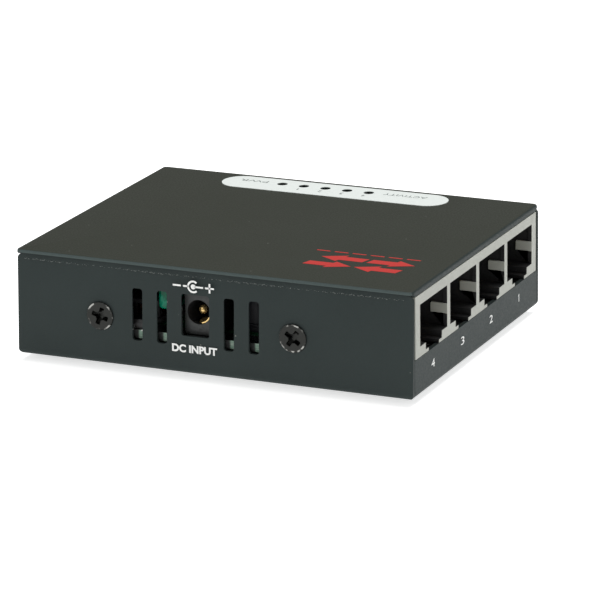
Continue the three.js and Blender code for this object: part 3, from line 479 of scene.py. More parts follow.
def metal(name, colour, rough=(0.2, 0.38), size=0.7, metallic=1.0, rim_wear_and_glint=None):
    """Plated or blackened metal: fine drawing marks, patchy gloss, and a ring of bare specks on
    the case screws' rims, which are worn there and are also painted lighter as a highlight."""
    f = Finish(name)
    marks = f.noise(size, 4, 0.6)
    tone = f.mixed(f.ramp(marks, 0.3, 0.7), tinted(colour, 0.82), colour)
    if rim_wear_and_glint:
        across = f.size(f.at("X") - SCREW_MIDDLE_X) - SCREW_REACH_X
        up = f.at("Z") - SCREW_HEIGHT
        away = f.maths("SQRT", across * across + up * up)
        # A ring of bare specks round the case screws' rims: wear, and also a painted highlight on
        # the rims.
        rub_and_glint = f.band(away, 2.2, 2.34, 2.56, 2.64) * f.ramp(f.noise(1.6), 0.48, 0.58)
        tone = f.mixed(rub_and_glint, tone, rim_wear_and_glint)
    return f.done(Base_Color=tone, Roughness=f.gloss(marks, *rough), Metallic=metallic,
                  Normal=f.bump(marks, 0.004))


def ink(name, colour):
    """Screen-printed ink: slightly uneven cover and a soft sheen."""
    f = Finish(name)
    cover = f.noise(0.25, 4, 0.6)
    tone = f.mixed(f.ramp(cover, 0.25, 0.6), tinted(colour, 0.86), colour)
    return f.done(Base_Color=tone, Roughness=f.gloss(cover, 0.4, 0.6), Normal=f.bump(cover, 0.004))


def solder_mask(name):
    """Green board: buried copper tracks in two directions, rings of tinned pads and fine grain,
    with painted shade near its long edges and under the socket block.
    """
    f = Finish(name)
    x, y = f.at("X"), f.at("Y")
    wander = f.noise(7.0, 1) * 1.6
    blocks = f.ramp(f.noise(9.0, 0), 0.49, 0.51)
    line = blocks * (x + wander) + (1 - blocks) * (y + wander)
    step = f.maths("FRACT", line / 0.9)
    track = f.band(step, 0.30, 0.38, 0.64, 0.72) * f.ramp(f.noise(11.0, 1), 0.4, 0.46)
    via = f.dots(2.6, 0.4, 0.16)
    tone = f.mixed(track * 0.7, (0.006, 0.075, 0.03), (0.02, 0.15, 0.05))
    tone = f.mixed(via, tone, (0.55, 0.55, 0.5))
    # Painted shade: near black along the long edges under the walls and under the socket block.
    shaded_margin = 1 - (1 - f.ramp(f.size(y), 25.2, 25.6)) * (1 - f.ramp(x, 19.6, 19.9))
    tone = f.mixed(shaded_margin, tone, SHADE_PAINT_DARK)
    return f.done(Base_Color=tone, Roughness=f.gloss(f.noise(3.0, 2), 0.22, 0.34),
                  Metallic=via * 0.8, Coat_Weight=0.3,
                  Normal=f.bump(track + via, 0.035, f.bump(f.noise(0.4), 0.003)))


def glass_epoxy(name):
    """Sawn board edge: painted shade all along, left off behind each slot where light falls,
    showing the pale green glass cloth.
    """
    f = Finish(name)
    fibre = f.noise(0.5, 5, 0.7, (0.25, 0.25, 2.0))
    x = f.at("X")
    # Where light comes in through the slots the edge keeps its own colour; elsewhere it gets the
    # painted shade.
    bare = sum(f.band(x, slot - 0.35, slot + 0.1, slot + 2.1, slot + 2.4) for slot in VENTS_X)
    tone = f.mixed(f.ramp(fibre, 0.3, 0.8), (0.13, 0.24, 0.17), (0.33, 0.40, 0.34))
    return f.done(Base_Color=f.mixed(bare, SHADE_PAINT_DARK, tone), Roughness=0.6,
                  Normal=f.bump(fibre, 0.05))


def satin_film(name, colour):
    """Printed polycarbonate film: faint orange peel under a satin skin."""
    f = Finish(name)
    peel = f.noise(0.7)
    tone = f.mixed(f.noise(8.0, 2), tinted(colour, 0.97), colour)
    return f.done(Base_Color=tone, Roughness=f.gloss(peel, 0.3, 0.4), Normal=f.bump(peel, 0.004))


def dipped_epoxy(name):
    """Glossy green dip that pools thicker in places."""
    f = Finish(name)
    pool = f.noise(1.6, 3, 0.55)
    tone = f.mixed(f.ramp(pool, 0.35, 0.7), (0.001, 0.08, 0.04), (0.003, 0.21, 0.12))
    return f.done(Base_Color=tone, Roughness=f.gloss(f.noise(3.5, 2), 0.1, 0.25),
                  Normal=f.bump(pool, 0.35), Specular_IOR_Level=0.2)


def rubber_compound(name):
    """Matte rubber with a chalky bloom and fine pits."""
    f = Finish(name)
    pit = f.noise(0.3, 5, 0.65)
    tone = f.mixed(f.ramp(f.noise(2.4), 0.4, 0.7), (0.012, 0.012, 0.012), (0.03, 0.03, 0.029))
    return f.done(Base_Color=tone, Roughness=f.gloss(pit, 0.75, 0.92), Normal=f.bump(pit, 0.03))


def lamp_resin(name):
    """Tinted lamp resin: dark green, clear-coated, a little streaky."""
    f = Finish(name)
    streak = f.noise(0.8, stretch=(1.0, 1.0, 0.3))
    tone = f.mixed(f.ramp(streak, 0.3, 0.7), (0.006, 0.05, 0.022), (0.02, 0.11, 0.05))
    return f.done(Base_Color=tone, Roughness=f.gloss(streak, 0.08, 0.18), Coat_Weight=0.4,
                  Normal=f.bump(streak, 0.004))


def pale_floor(name, colour, glow):
    """Seamless pale sweep with a barely uneven matte surface, lit up a little from within."""
    f = Finish(name)
    tone = f.mixed(f.noise(120.0), tinted(colour, 0.985), colour)
    return f.done(Base_Color=tone, Roughness=0.9, Emission_Color=(1.0, 1.0, 1.0),
                  Emission_Strength=glow)


VENTS_X = (-14.525, -9.725, 3.275, 8.075)  # middles of the inlet wall's vent slots
SCREW_MIDDLE_X, SCREW_REACH_X, SCREW_HEIGHT = -3.085, 18.685, 10.0  # case screws, along the wall
SHADE_PAINT_DARK = (0.002, 0.003, 0.0025)  # board where no light finds it

# The material slot that each finish belongs to; the others have none
SLOTS = {
    "powder_coat": "black_paint", "dry_coat": "black_paint", "socket_grey": "grey_plastic",
    "black_resin": "black_plastic", "inlet_resin": "black_plastic", "can_sleeve": "black_plastic",
    "shadow_resin": "black_plastic", "blackened_steel": "black_steel", "nickel_plate": "nickel",
    "tinned": "nickel", "bare_aluminium": "nickel", "gold_plate": "gold", "solder_mask": "board",
    "ferrite_block": "ferrite", "satin_film": "white_label", "white_ink": "white_label",
    "dipped_epoxy": "green_film", "rubber_compound": "rubber", "lamp_resin": "green_lens",
}

made_finishes = {}


def finish(name):
    """The material of that name, made when it is first asked for."""
    tone = bpy.context.scene.switch_tones
    makers = {
        "powder_coat": (powder_coat, tone.case),
        "socket_grey": (moulded, tone.sockets, 0.5, 0.005),
        "black_resin": (moulded, (0.009, 0.009, 0.0095)),
        "inlet_resin": (moulded, tone.inlet, 0.4, 0.008),
        # Near black for the socket insides, the combs and the power bore: painted shade.
        "shadow_resin": (moulded, (0.0035, 0.0035, 0.004), 0.45, 0.006, (0.7, 0.85)),
        # Pale grey for the wall bead's black paint: a painted highlight.
        "dry_coat": (moulded, (0.15, 0.165, 0.155), 0.3, 0.02, (0.5, 0.7)),
        "can_sleeve": (moulded, (0.008, 0.009, 0.014), 0.8, 0.004, (0.5, 0.6)),
        "ferrite_block": (moulded, (0.03, 0.03, 0.032), 0.6, 0.02, (0.5, 0.7)),
        # The last colour is the rims' worn specks, also a painted highlight.
        "blackened_steel": (
            metal, (0.034, 0.035, 0.033), (0.3, 0.45), 0.3, 1.0, (0.36, 0.36, 0.34)
        ),
        "nickel_plate": (metal, (0.66, 0.64, 0.60)),
        "tinned": (metal, (0.72, 0.72, 0.70), (0.25, 0.45), 0.4),
        "gold_plate": (metal, (0.83, 0.58, 0.24), (0.12, 0.28), 0.4, 0.8),
        "bare_aluminium": (metal, (0.78, 0.78, 0.77), (0.25, 0.4), 0.5),
        "copper_wire": (metal, (0.62, 0.25, 0.10), (0.25, 0.4), 0.4),
        "solder_mask": (solder_mask,),
        "glass_epoxy": (glass_epoxy,),
        "satin_film": (satin_film, tone.label),
        "dipped_epoxy": (dipped_epoxy,),
        "rubber_compound": (rubber_compound,),
        "lamp_resin": (lamp_resin,),
        "white_ink": (ink, (0.86, 0.87, 0.85)),
        "grey_ink": (ink, (0.26, 0.29, 0.28)),
        "red_ink": (ink, tone.mark),
        "pale_floor": (pale_floor, tone.floor, 0.68),
    }
    if name not in made_finishes:
        maker, *values = makers[name]
        made_finishes[name] = maker(name, *values)
    return made_finishes[name]


# ---- Settings ----


def tone_property(name, description, default):
    return bpy.props.FloatVectorProperty(
        name=name, description=description, default=default, size=3, min=0.0, max=1.0,
        subtype="COLOR",
    )


def length_property(name, description, default):
    return bpy.props.FloatProperty(
        name=name, description=description, default=default * MM, min=0.0, soft_max=0.02,
        precision=5, unit="LENGTH",
    )


class SwitchTones(bpy.types.PropertyGroup):
    case: tone_property("Case", "Powder coat of the tray and cover", (0.0275, 0.0358, 0.0348))
    sockets: tone_property("Sockets", "Plastic of the network socket block", (0.34, 0.35, 0.31))
    inlet: tone_property("Power inlet", "Plastic of the power socket", (0.02, 0.023, 0.022))
    label: tone_property("Label", "Indicator label film", (0.90, 0.95, 0.92))
    mark: tone_property("Cover mark", "Ink of the sign on the cover", (0.58, 0.018, 0.012))
    floor: tone_property("Floor", "Surface that the switch stands on", (0.9, 0.9, 0.9))


class SwitchSizes(bpy.types.PropertyGroup):
    socket_edge: length_property("Socket edge", "Rounding of the socket block's edges", 0.07)
    print_depth: length_property("Print depth", "Thickness of printed ink", 0.02)
    thread_pitch: length_property("Thread pitch", "Pitch of the screws' threads", 0.5)


class SwitchStage(bpy.types.PropertyGroup):
    key: bpy.props.FloatProperty(
        name="Key light", description="Power of the large light over the sockets",
        default=22.0, min=0.0, unit="POWER",
    )
    sky: bpy.props.FloatProperty(
        name="Surround", description="Strength of the white surround", default=0.22, min=0.0,
    )


# ---- Operators, one for each group of like pieces, with the surfaces that only they need ----


def smoothed(share):
    """Eases a share between 0 and 1: 3 t^2 - 2 t^3."""
    share = np.clip(share, 0, 1)
    return share**2 * (3 - 2 * share)


def cross_headed(radius, height, cross, width, depth, turn, rings=44, sides=144):
    """A flat cross-recessed head about the Z axis: height over the disc is minus the recess,
    which is deepest where both arms' cross-sections fade in from the walls."""
    r = np.linspace(0, 1, rings)[:, None] * (radius - 0.06)
    a = np.linspace(0, TURN, sides, endpoint=False)[None, :]
    u, v = np.abs(r * np.cos(a - turn)), np.abs(r * np.sin(a - turn))
    near, far = np.minimum(u, v), np.maximum(u, v)
    wall = smoothed((width / 2 - near) / 0.10 + 0.5)
    core = smoothed((width * 0.95 - r) / 0.3 + 0.5)
    reach = np.clip((cross / 2 - far) / (cross * 0.28), 0, 1) ** 0.6
    sunk = depth * np.maximum(wall * reach, core * 0.9)
    rim_r = np.array([radius - 0.02, radius, radius, radius - 0.02])[:, None]
    rim_z = np.array([-0.01, -0.05, -height + 0.02, -height])[:, None]
    points = np.concatenate([polar(r, a, -sunk), polar(rim_r, a, rim_z)])
    return points.reshape(-1, 3), grid_faces(rings + 4, sides)


def screw(radius, head, shank, length, cone, cross, width, depth, turn, pitch):
    """Head and threaded shank, with the head's face at height 0 and the shank running down.

    Below the cone the radius rises and falls with a helix: r + A * saw(z / pitch + a / turn).
    """
    thread_top, amount = -head - cone - 0.2, 0.08

    def thread(a, h):
        phase = (h / pitch + a / TURN) % 1.0
        return amount * (1 - 4 * np.abs(phase - 0.5)) * (h < thread_top)

    run = np.arange(-head - cone - 0.1, -length + 0.45, -pitch / 6)
    profile = [(radius - 0.02, -head), (shank, -head - cone), *((shank, h) for h in run),
               (shank - 0.35, -length), (0, -length)]
    return together([cross_headed(radius, head, cross, width, depth, turn),
                     turned(profile, 40, thread)])


def plate(flat, thickness):
    """A flat outline with a thickness: the outline below and above, joined all round."""
    count = len(flat)
    low = np.column_stack([flat, np.full(count, -thickness / 2)])
    high = np.column_stack([flat, np.full(count, thickness / 2)])
    ring = [[k, (k + 1) % count, (k + 1) % count + count, k + count] for k in range(count)]
    return np.concatenate([low, high]), [list(range(count))[::-1],
                                         list(range(count, 2 * count)), *ring]


def numeral(number, width, height, thickness):
    """A printed numeral about its own middle: lettering, or for 1 a flagged upright as an outline
    in half heights."""
    if number > 1:
        return lettering(str(number), width, height, thickness)
    half = [(0.0, -1.0), (0.28, -1.0), (0.28, 1.0), (0.04, 1.0), (-0.38, 0.62), (-0.38, 0.36),
            (0.0, 0.66)]
    return plate(np.array(half) * height / 2, thickness)


class SWITCH_OT_case(bpy.types.Operator):
    """Folded base tray and cover, with the rough bead of paint along the walls' top edges, coloured
    pale as a painted highlight
    """

    bl_idname = "switch.case"
    bl_label = "Case"

    def execute(self, context):
        softened("base_tray", "tray_shell", "powder_coat", 0)
        softened("top_cover", "cover_shell", "powder_coat", 0)
        low, high = span("base_tray")
        x = np.linspace(low[0] + 1.5, high[0] - 1.5, 900)
        drop = 0.62 + 0.13 * np.sin(5.3 * x) * np.sin(1.9 * x)
        beads = []
        for side in (-1, 1):
            rough = 0.15 + 0.6 * np.sin(6.1 * x + side) * np.sin(2.3 * x + 0.4)
            rough += 0.45 * np.sin(15.3 * x + 2.0) * np.sin(1.1 * x) + 0.2 * np.sin(0.31 * x + side)
            size = 0.15 * np.clip(rough, 0, 1)
            path = np.stack([x, 0 * x + side * (high[1] - 0.035), high[2] - drop], -1)
            surface, faces = swept(path, oval(2.6, 1, 8, 2.0), (0, 1, 0))
            centre = np.concatenate([path[:1], path, path[-1:]])[:, None]
            scale = np.concatenate([[0], size, [0]])[:, None, None]
            rings = centre + (surface.reshape(-1, 8, 3) - centre) * scale
            beads.append((rings.reshape(-1, 3), faces))
        # The bead is coloured pale grey over the black paint: a painted highlight.
        piece("wall_paint_bead", together(beads), "dry_coat", crease=math.radians(80))
        return {"FINISHED"}


PRINT_GAP, LABEL_PRINT_GAP = 0.004, 0.003  # keep the ink's back off the coat
WIRE_PITCH = 1.02  # between a socket's sprung wires


def sloped_arrows(lean=0.28):
    """Four fat arrows in two rows that point in and out by turns, sloped like italic letters."""
    arrow = np.array([(-4.2, -1.05), (0.3, -1.05), (0.3, -1.95), (4.3, 0), (0.3, 1.95),
                      (0.3, 1.05), (-4.2, 1.05)])
    for column, row in ((-4.6, 2.12), (4.6, 2.12), (-4.6, -2.12), (4.6, -2.12)):
        flat = arrow * (-1 if column * row > 0 else 1) + (column, row)
        flat[:, 0] += flat[:, 1] * lean
        yield flat


class SWITCH_OT_printing(bpy.types.Operator):
    """Port numerals, inlet polarity and words, and the red sign on the cover"""

    bl_idname = "switch.printing"
    bl_label = "Printing"

    def execute(self, context):
        ink_depth = context.scene.switch_sizes.print_depth / MM
        tray_low, tray_high = span("base_tray")
        lift = ink_depth / 2 + PRINT_GAP
        digits = [
            moved(numeral(k, 1.5, 1.45, ink_depth),
                  (tray_high[0] + lift, middle(f"port_{k}_insert")[1] - 0.45, 5.45), UPRIGHT_END)
            for k in PORTS
        ]
        piece("port_numerals", together(digits), "white_ink")

        wall = tray_low[1] - lift
        a = np.radians(np.linspace(48, 312, 40))
        ring = stroke(polar(0.98, a), 0.34, ink_depth)
        dot = turned([(0, -ink_depth / 2), (0.46, -ink_depth / 2), (0.46, ink_depth / 2),
                      (0, ink_depth / 2)], 28)
        bars = [((-1.95, 0), (-0.9, 0)), ((0.3, 0), (1.92, 0)), ((-3.95, 0), (-2.4, 0)),
                ((2.3, 0), (4.02, 0)), ((3.16, -0.86), (3.16, 0.86))]
        sign = together([ring, dot, *(stroke(bar, 0.32, ink_depth) for bar in bars)])
        sign_x = middle("power_socket_pin")[0] - 0.05
        piece("polarity_sign", moved(sign, (sign_x, wall, 17.39), UPRIGHT_FRONT), "white_ink")
        words = lettering("DC INPUT", 8.75, 1.46, ink_depth, 0.04)
        piece("inlet_words", moved(words, (-3.27, wall, 5.87), UPRIGHT_FRONT), "white_ink")

        top = span("top_cover")[1][2] + lift
        arrows = together([plate(flat, ink_depth) for flat in sloped_arrows()])
        piece("cover_sign", moved(arrows, (23.0, -17.68, top), READ_FROM_BACK), "red_ink")
        rule = together([stroke([(x, 0), (x + 2.6, 0)], 0.42, ink_depth)
                         for x in np.arange(-9.9, 8.0, 3.45)])
        piece("cover_rule", moved(rule, (22.3, -12.1, top), READ_FROM_BACK), "red_ink")
        return {"FINISHED"}


class SWITCH_OT_indicators(bpy.types.Operator):
    """Indicator label with its print, and the lamps and spacers under it"""

    bl_idname = "switch.indicators"
    bl_label = "Indicators"

    def execute(self, context):
        ink_depth = context.scene.switch_sizes.print_depth / MM
        softened("indicator_label", "label_film", "satin_film", 0.03)
        top = span("indicator_label")[1][2] + ink_depth / 2 + LABEL_PRINT_GAP
        y = middle("indicator_label")[1]
        height = 1.15
        words = [moved(lettering(word, length, height, ink_depth), (x, y + height, top),
                       READ_FROM_BACK)
                 for word, length, x in (("PWR", 5.6, -17.2), ("ACTIVITY", 8.6, 13.5))]
        for k in PORTS:
            place = (middle(f"led_{k + 1}")[0] - 0.15, y - 1.4, top)
            words.append(moved(numeral(k, 0.62, 1.1, ink_depth), place, READ_FROM_BACK))
        piece("label_print", together(words), "grey_ink")
        for k in LAMPS:
            tall, place = stand(f"led_{k}")[1:]
            r = 1.5
            dome = [(r * math.cos(t), tall - r + r * math.sin(t))
                    for t in np.linspace(0, TURN / 4, 10)]
            profile = [(0, 0), (1.82, 0), (1.9, 0.08), (1.9, 0.82), (1.84, 0.9), (r + 0.05, 0.9),
                       (r, 0.98), *dome[:-1], (0, tall)]
            piece(f"lamp_{k}", moved(turned(profile, 40), place), "lamp_resin", f"led_{k}")
            softened(f"led_spacer_{k}", f"lamp_spacer_{k}", "black_resin", 0.08)
        return {"FINISHED"}


class SWITCH_OT_sockets(bpy.types.Operator):
    """Grey block of network sockets, painted near black inside as shade, with contact combs and
    sprung wires
    """

    bl_idname = "switch.sockets"
    bl_label = "Network sockets"

    def execute(self, context):
        low, high = span("jack_housing")
        rib_low, rib_high, rib_end = 12.5, 14.35, high[0] - 3.2
        ports = np.array([middle(f"port_{k}_insert")[1] for k in PORTS])

        def inside(centres, normals):
            """Faces painted near black as shade: all behind the mouths' edges and the latch
            recesses, but for the ribs of the side walls.
            """
            x, y, z = centres.T
            off = np.abs(y[:, None] - ports).min(1)
            deep = (x < high[0] - 0.05) & (x > low[0] + 0.3) & (off < 6.75) & (z < high[2] - 0.5)
            rib = (off < 6.72) & (off > 5.9) & (z > rib_low - 0.02) & (z < rib_high + 0.02)
            latch = (z < 10.1) & (x < high[0] - 0.05) & (off < 3.75)
            return (deep & ~(rib & (x > rib_end - 0.1))) | latch

        def part_ribs(shape):
            """Cuts the walls level with each rib's top and underside, so that the rib's face
            stands apart from the mouth's, and eases the rib's inner end."""
            for height in (rib_low, rib_high):
                bmesh.ops.bisect_plane(
                    shape, geom=[*shape.verts, *shape.edges, *shape.faces],
                    plane_co=(0, 0, height * MM), plane_no=(0, 0, 1),
                )
            ends = []
            for each in shape.edges:
                a, b = (np.array(v.co) / MM for v in each.verts)
                crosses = abs(a[1] - b[1]) > 0.2 and abs(a[0] - b[0]) + abs(a[2] - b[2]) < 0.02
                if crosses and abs(a[0] - rib_end) < 0.05 and rib_low - 0.1 < a[2] < rib_high + 0.1:
                    ends.append(each)
            bmesh.ops.bevel(shape, geom=ends, offset=0.3 * MM, segments=4, profile=0.5,
                            affect="EDGES")

        softened("jack_housing", "socket_block", "socket_grey",
                 context.scene.switch_sizes.socket_edge / MM, "shadow_resin", inside, part_ribs)
        for k in PORTS:
            # The combs take the same near black: painted shade.
            softened(f"port_{k}_insert", f"port_{k}_comb", "shadow_resin", 0.04)
            self.wires(k)
        return {"FINISHED"}

    def wires(self, k):
        """Eight sprung wires: out of the comb, round a tight bend and down a bowed slope."""
        low, high = span(f"port_{k}_contacts")
        y = (low[1] + high[1]) / 2
        x0, z0 = high[0] - 0.25, high[2] - 0.25
        a = np.radians(np.linspace(115, -62, 14))
        bend = np.stack([x0 + 0.12 * np.cos(a), 0 * a, z0 + 0.12 * np.sin(a)], -1)
        t = np.linspace(0.06, 1, 14)[:, None]
        reach, drop = x0 - low[0] - 0.1, z0 - low[2] - 0.2
        slope = np.hstack([x0 - reach * t, 0 * t, z0 - drop * t - 0.18 * np.sin(math.pi * t)])
        slope[-2:, 2] += (0.02, 0.12)
        back = np.array([[x0 - 1.3, 0, z0 + 0.05], [x0 - 0.6, 0, z0 + 0.11]])
        wire = swept(np.concatenate([back, bend, slope]), oval(0.40, 0.22, 8, 3.0), (0, 1, 0))
        places = [(0, y + (n - 3.5) * WIRE_PITCH, 0) for n in range(8)]
        piece(f"port_{k}_wires", copies(wire, places), "gold_plate", f"port_{k}_contacts",
              f"port_{k}_contacts_set")


class SWITCH_OT_inlet(bpy.types.Operator):
    """Power socket: body, centre pin, a strip of its lining and sprung leaf"""

    bl_idname = "switch.inlet"
    bl_label = "Power inlet"

    def execute(self, context):
        low, high = span("power_socket_body")
        pin_low, pin_high = span("power_socket_pin")
        x, z = middle("power_socket_pin")[[0, 2]]

        def bored(centres, normals):
            """The bore's wall and floor, painted near black as shade."""
            off = np.hypot(centres[:, 0] - x, centres[:, 2] - z)
            return (off < 2.3) & (centres[:, 1] > low[1] + 0.05) & (centres[:, 1] < high[1] - 0.1)

        softened("power_socket_body", "inlet_body", "inlet_resin", 0.1, "shadow_resin", bored)
        length = pin_high[1] - pin_low[1]
        nose = [(0.8 * math.sin(t), 0.8 - 0.8 * math.cos(t))
                for t in np.linspace(0, TURN / 4, 9)[1:]]
        profile = [(0, 0), *nose, (0.8, length - 2.6), (0.84, length - 2.5), (1.0, length - 2.1),
                   (1.0, length - 0.05), (0.95, length), (0, length)]
        pin = moved(turned(profile, 40), (x, pin_low[1], z), [(1, 0, 0), (0, 0, -1), (0, 1, 0)])
        piece("inlet_pin", pin, "gold_plate", "power_socket_pin")
        a = np.radians(np.linspace(-78, -8, 24))
        arc = stroke(polar(2.06, a), 0.2, 0.8)
        piece("inlet_lining", moved(arc, (x, low[1] + 0.75, z), UPRIGHT_FRONT), "gold_plate")
        leaf_low, leaf_high = span("power_socket_spring")
        y0, y1, top = leaf_low[1], leaf_high[1], leaf_high[2] - 0.15
        line = eased([(y1, leaf_low[2] + 0.17), (y0 + 3.0, top - 0.12), (y0 + 2.1, top + 0.02),
                      (y0 + 1.2, top - 0.15), (y0 + 0.05, top - 0.73)], 50, 3)
        leaf = swept(np.column_stack([np.full(len(line), x), line]), oval(1.76, 0.24, 12, 5.0),
                     (1, 0, 0))
        piece("inlet_leaf", leaf, "gold_plate", "power_socket_spring", "power_leaf")
        return {"FINISHED"}


class SWITCH_OT_fasteners(bpy.types.Operator):
    """Black countersunk case screws, and the board's pan-head screws and standoffs"""

    bl_idname = "switch.fasteners"
    bl_label = "Fasteners"

    def execute(self, context):
        pitch = context.scene.switch_sizes.thread_pitch / MM
        for k, turn in enumerate((-0.33, -0.62, 0.2, 0.75), 1):
            low, high = span(f"case_screw_{k}")
            front = low[1] < 0
            x, y, z = middle(f"case_screw_{k}")
            surface = screw(2.56, 0.16, 1.3, high[1] - low[1], 1.1, 3.2, 0.74, 1.1, turn, pitch)
            surface = moved(surface, (x, low[1] if front else high[1], z),
                            UPRIGHT_FRONT if front else UPRIGHT_BACK)
            piece(f"wall_screw_{k}", surface, "blackened_steel", f"case_screw_{k}")
            tall, place = stand(f"board_screw_{k}")[1:]
            surface = screw(2.55, 1.05, 1.1, tall, 0.6, 3.0, 0.7, 1.0, 0.4 * k, pitch)
            piece(f"board_fixing_{k}", moved(surface, place + (0, 0, tall)), "nickel_plate",
                  f"board_screw_{k}")
            softened(f"board_standoff_{k}", f"standoff_{k}", "nickel_plate", 0.12)
        return {"FINISHED"}


def gull_leg(out, rise, width, thick=0.15):
    """A bent lead from a package's side, at height rise, down to the board: it runs along +X."""
    line = eased([(0, 0, rise), (out * 0.3, 0, rise), (out * 0.5, 0, 0.1), (out, 0, 0.1)], 12, 1)
    return swept(line, oval(width, thick, 4, 20.0), (0, 1, 0))


def leads(leg, out, places):
    """Copies of a leg, turned to run along out."""
    return copies(moved(leg, axes=[(*out, 0), (-out[1], out[0], 0), (0, 0, 1)]), places)


def build_chip():
    place = stand("switch_chip")[2]
    body = stacked(7.0, 10.0, 0.3, [(0.35, 0.12), (0.3, 0.2), (0.0, 1.15), (0.0, 1.3),
                                    (0.12, 2.3), (0.2, 2.4)])
    piece("chip_body", moved(body, place), "black_resin", "switch_chip")
    leg = gull_leg(1.55, 1.2, 0.26)
    rows = []
    for x, y, start, reach in ((1, 0, 7.0, 9.0), (-1, 0, 7.0, 9.0), (0, 1, 10.0, 6.0),
                               (0, -1, 10.0, 6.0)):
        steps = np.arange(-reach, reach + 0.01, 0.65)
        places = [place + (x * start - y * step, y * start + x * step, 0) for step in steps]
        rows.append(leads(leg, (x, y), places))
    piece("chip_legs", together(rows), "tinned")


def build_magnetics():
    leg = gull_leg(1.0, 1.6, 0.45, 0.22)
    rows = []
    for k in (1, 2):
        half, tall, place = stand(f"magnetics_{k}")
        body = stacked(half[0] - 0.9, half[1], 0.35, [(0.3, 0.25), (0.1, 0.4), (0, tall / 2),
                                                      (0.15, tall - 0.15), (0.3, tall)])
        piece(f"magnetics_{k}_case", moved(body, place), "black_resin", f"magnetics_{k}")
        for side in (-1, 1):
            places = [place + (side * (half[0] - 0.95), step, 0)
                      for step in np.arange(-5.72, 5.8, 1.27)]
            rows.append(leads(leg, (side, 0), places))
    piece("magnetics_legs", together(rows), "tinned")


def build_crystal():
    half, tall, place = stand("crystal_can")
    can = stacked(half[0], half[1], half[0] - 0.05,
                  [(0, 0), (0, 0.35), (0.35, 0.5), (0.4, 0.7), (0.4, tall - 0.4),
                   (0.5, tall - 0.15), (0.8, tall)], 12)
    piece("crystal_shell", moved(can, place), "nickel_plate", "crystal_can")


def build_inductor():
    """A waisted ferrite core with eight turns of wire."""
    half, tall, place = stand("power_inductor")
    core = stacked(half[0], half[1], 1.6,
                   [(0.1, 0), (0, 0.1), (0, 0.8), (0.9, 0.85), (0.9, tall - 0.85),
                    (0, tall - 0.8), (0, tall - 0.1), (0.1, tall)], 8)
    piece("inductor_core", moved(core, place), "ferrite_block", "power_inductor")
    turns = 8
    a = np.linspace(0, turns * TURN, turns * 40)
    coil = polar(half[0] - 0.55, a, 1.05 + (tall - 2.1) * a / a[-1])
    wire = swept(coil, oval(0.27, 0.27, 8, 2.0), (0, 0, 1))
    piece("inductor_winding", moved(wire, place), "copper_wire")


def build_regulator():
    half, tall, place = stand("voltage_regulator")
    body = stacked(half[0], half[1] - 0.5, 0.15,
                   [(0.2, 0.08), (0, tall / 2), (0.2, tall - 0.05), (0.25, tall)])
    piece("regulator_body", moved(body, place), "black_resin", "voltage_regulator")
    edge = half[1] - 0.5
    legs = [leads(gull_leg(0.9, 0.85, 0.7, 0.2), (0, -1),
                  [place + (step, -edge, 0) for step in (-2.3, 0, 2.3)]),
            leads(gull_leg(0.9, 0.85, 3.0, 0.2), (0, 1), [place + (0, edge, 0)])]
    piece("regulator_legs", together(legs), "tinned")


def build_diode():
    half, tall, place = stand("input_diode")
    body = stacked(half[0] - 0.45, half[1], 0.12, [(0.15, 0.1), (0, tall / 2), (0.18, tall)])
    piece("diode_body", moved(body, place), "black_resin", "input_diode")
    legs = [leads(gull_leg(0.55, 0.9, 1.4, 0.2), (side, 0),
                  [place + (side * (half[0] - 0.5), 0, 0)]) for side in (-1, 1)]
    piece("diode_legs", together(legs), "tinned")
    band = stacked(0.28, half[1] - 0.22, 0.05, [(0, tall - 0.01), (0, tall + 0.01)])
    piece("diode_band", moved(band, place + (half[0] - 1.15, 0, 0)), "white_ink", slotted=False)


def vented_disc(radius, height):
    """A flat cap with a cross pressed into it: height falls along two scored lines."""
    r = np.linspace(0, 1, 22)[:, None] * radius
    a = np.linspace(0, TURN, 72, endpoint=False)[None, :]
    u, v = np.abs(r * np.cos(a)), np.abs(r * np.sin(a))
    score = np.exp(-((np.minimum(u, v) / 0.14) ** 2)) * (r < radius * 0.85)
    under = height - 0.25
    rings = [polar(r, a, height - 0.08 * score), polar(radius, a, under), polar(0, a, under)]
    return np.concatenate(rings).reshape(-1, 3), grid_faces(24, 72)


def build_can(k):
    """A can capacitor: a sleeve with a groove near its foot, and a scored top."""
    half, tall, place = stand(f"filter_capacitor_{k}")
    r = half[0]
    groove = [(r - 0.28 * math.cos(t), 1.35 + 0.35 * math.sin(t))
              for t in np.linspace(-TURN / 4, TURN / 4, 9)]
    sleeve = [(0, 0), (r - 0.25, 0), (r - 0.05, 0.12), (r, 0.4), *groove, (r, 2.0),
              (r, tall - 0.4), (r - 0.12, tall - 0.12), (r - 0.5, tall - 0.02),
              (r - 0.62, tall - 0.12), (r - 0.7, tall - 0.2), (0, tall - 0.2)]
    piece(f"can_{k}_sleeve", moved(turned(sleeve, 56), place), "can_sleeve",
          f"filter_capacitor_{k}")
    piece(f"can_{k}_top", moved(vented_disc(r - 0.68, tall - 0.1), place), "bare_aluminium")


def pillow(half_x, half_y, half_z, rows=28, sides=56):
    """A dipped body between an ellipsoid and a box: each of x, y and z is its half size times the
    sine or cosine of two angles, raised to a power below 1, with a slow ripple of the dip."""
    u = np.linspace(-TURN / 4, TURN / 4, rows)[:, None]
    v = np.linspace(0, TURN, sides, endpoint=False)[None, :]
    ripple = 1 - 0.03 * (1 + np.sin(3 * v + 5 * u) * np.cos(2 * u - v))
    ripple = ripple * signed_power(np.cos(u), 0.22)
    x = half_x * signed_power(np.cos(v), 0.3) * ripple
    y = half_y * signed_power(np.sin(v), 0.25) * ripple
    z = half_z * signed_power(np.sin(u), 0.3) + 0 * v
    return np.stack([x, y, z], -1).reshape(-1, 3), grid_faces(rows, sides)


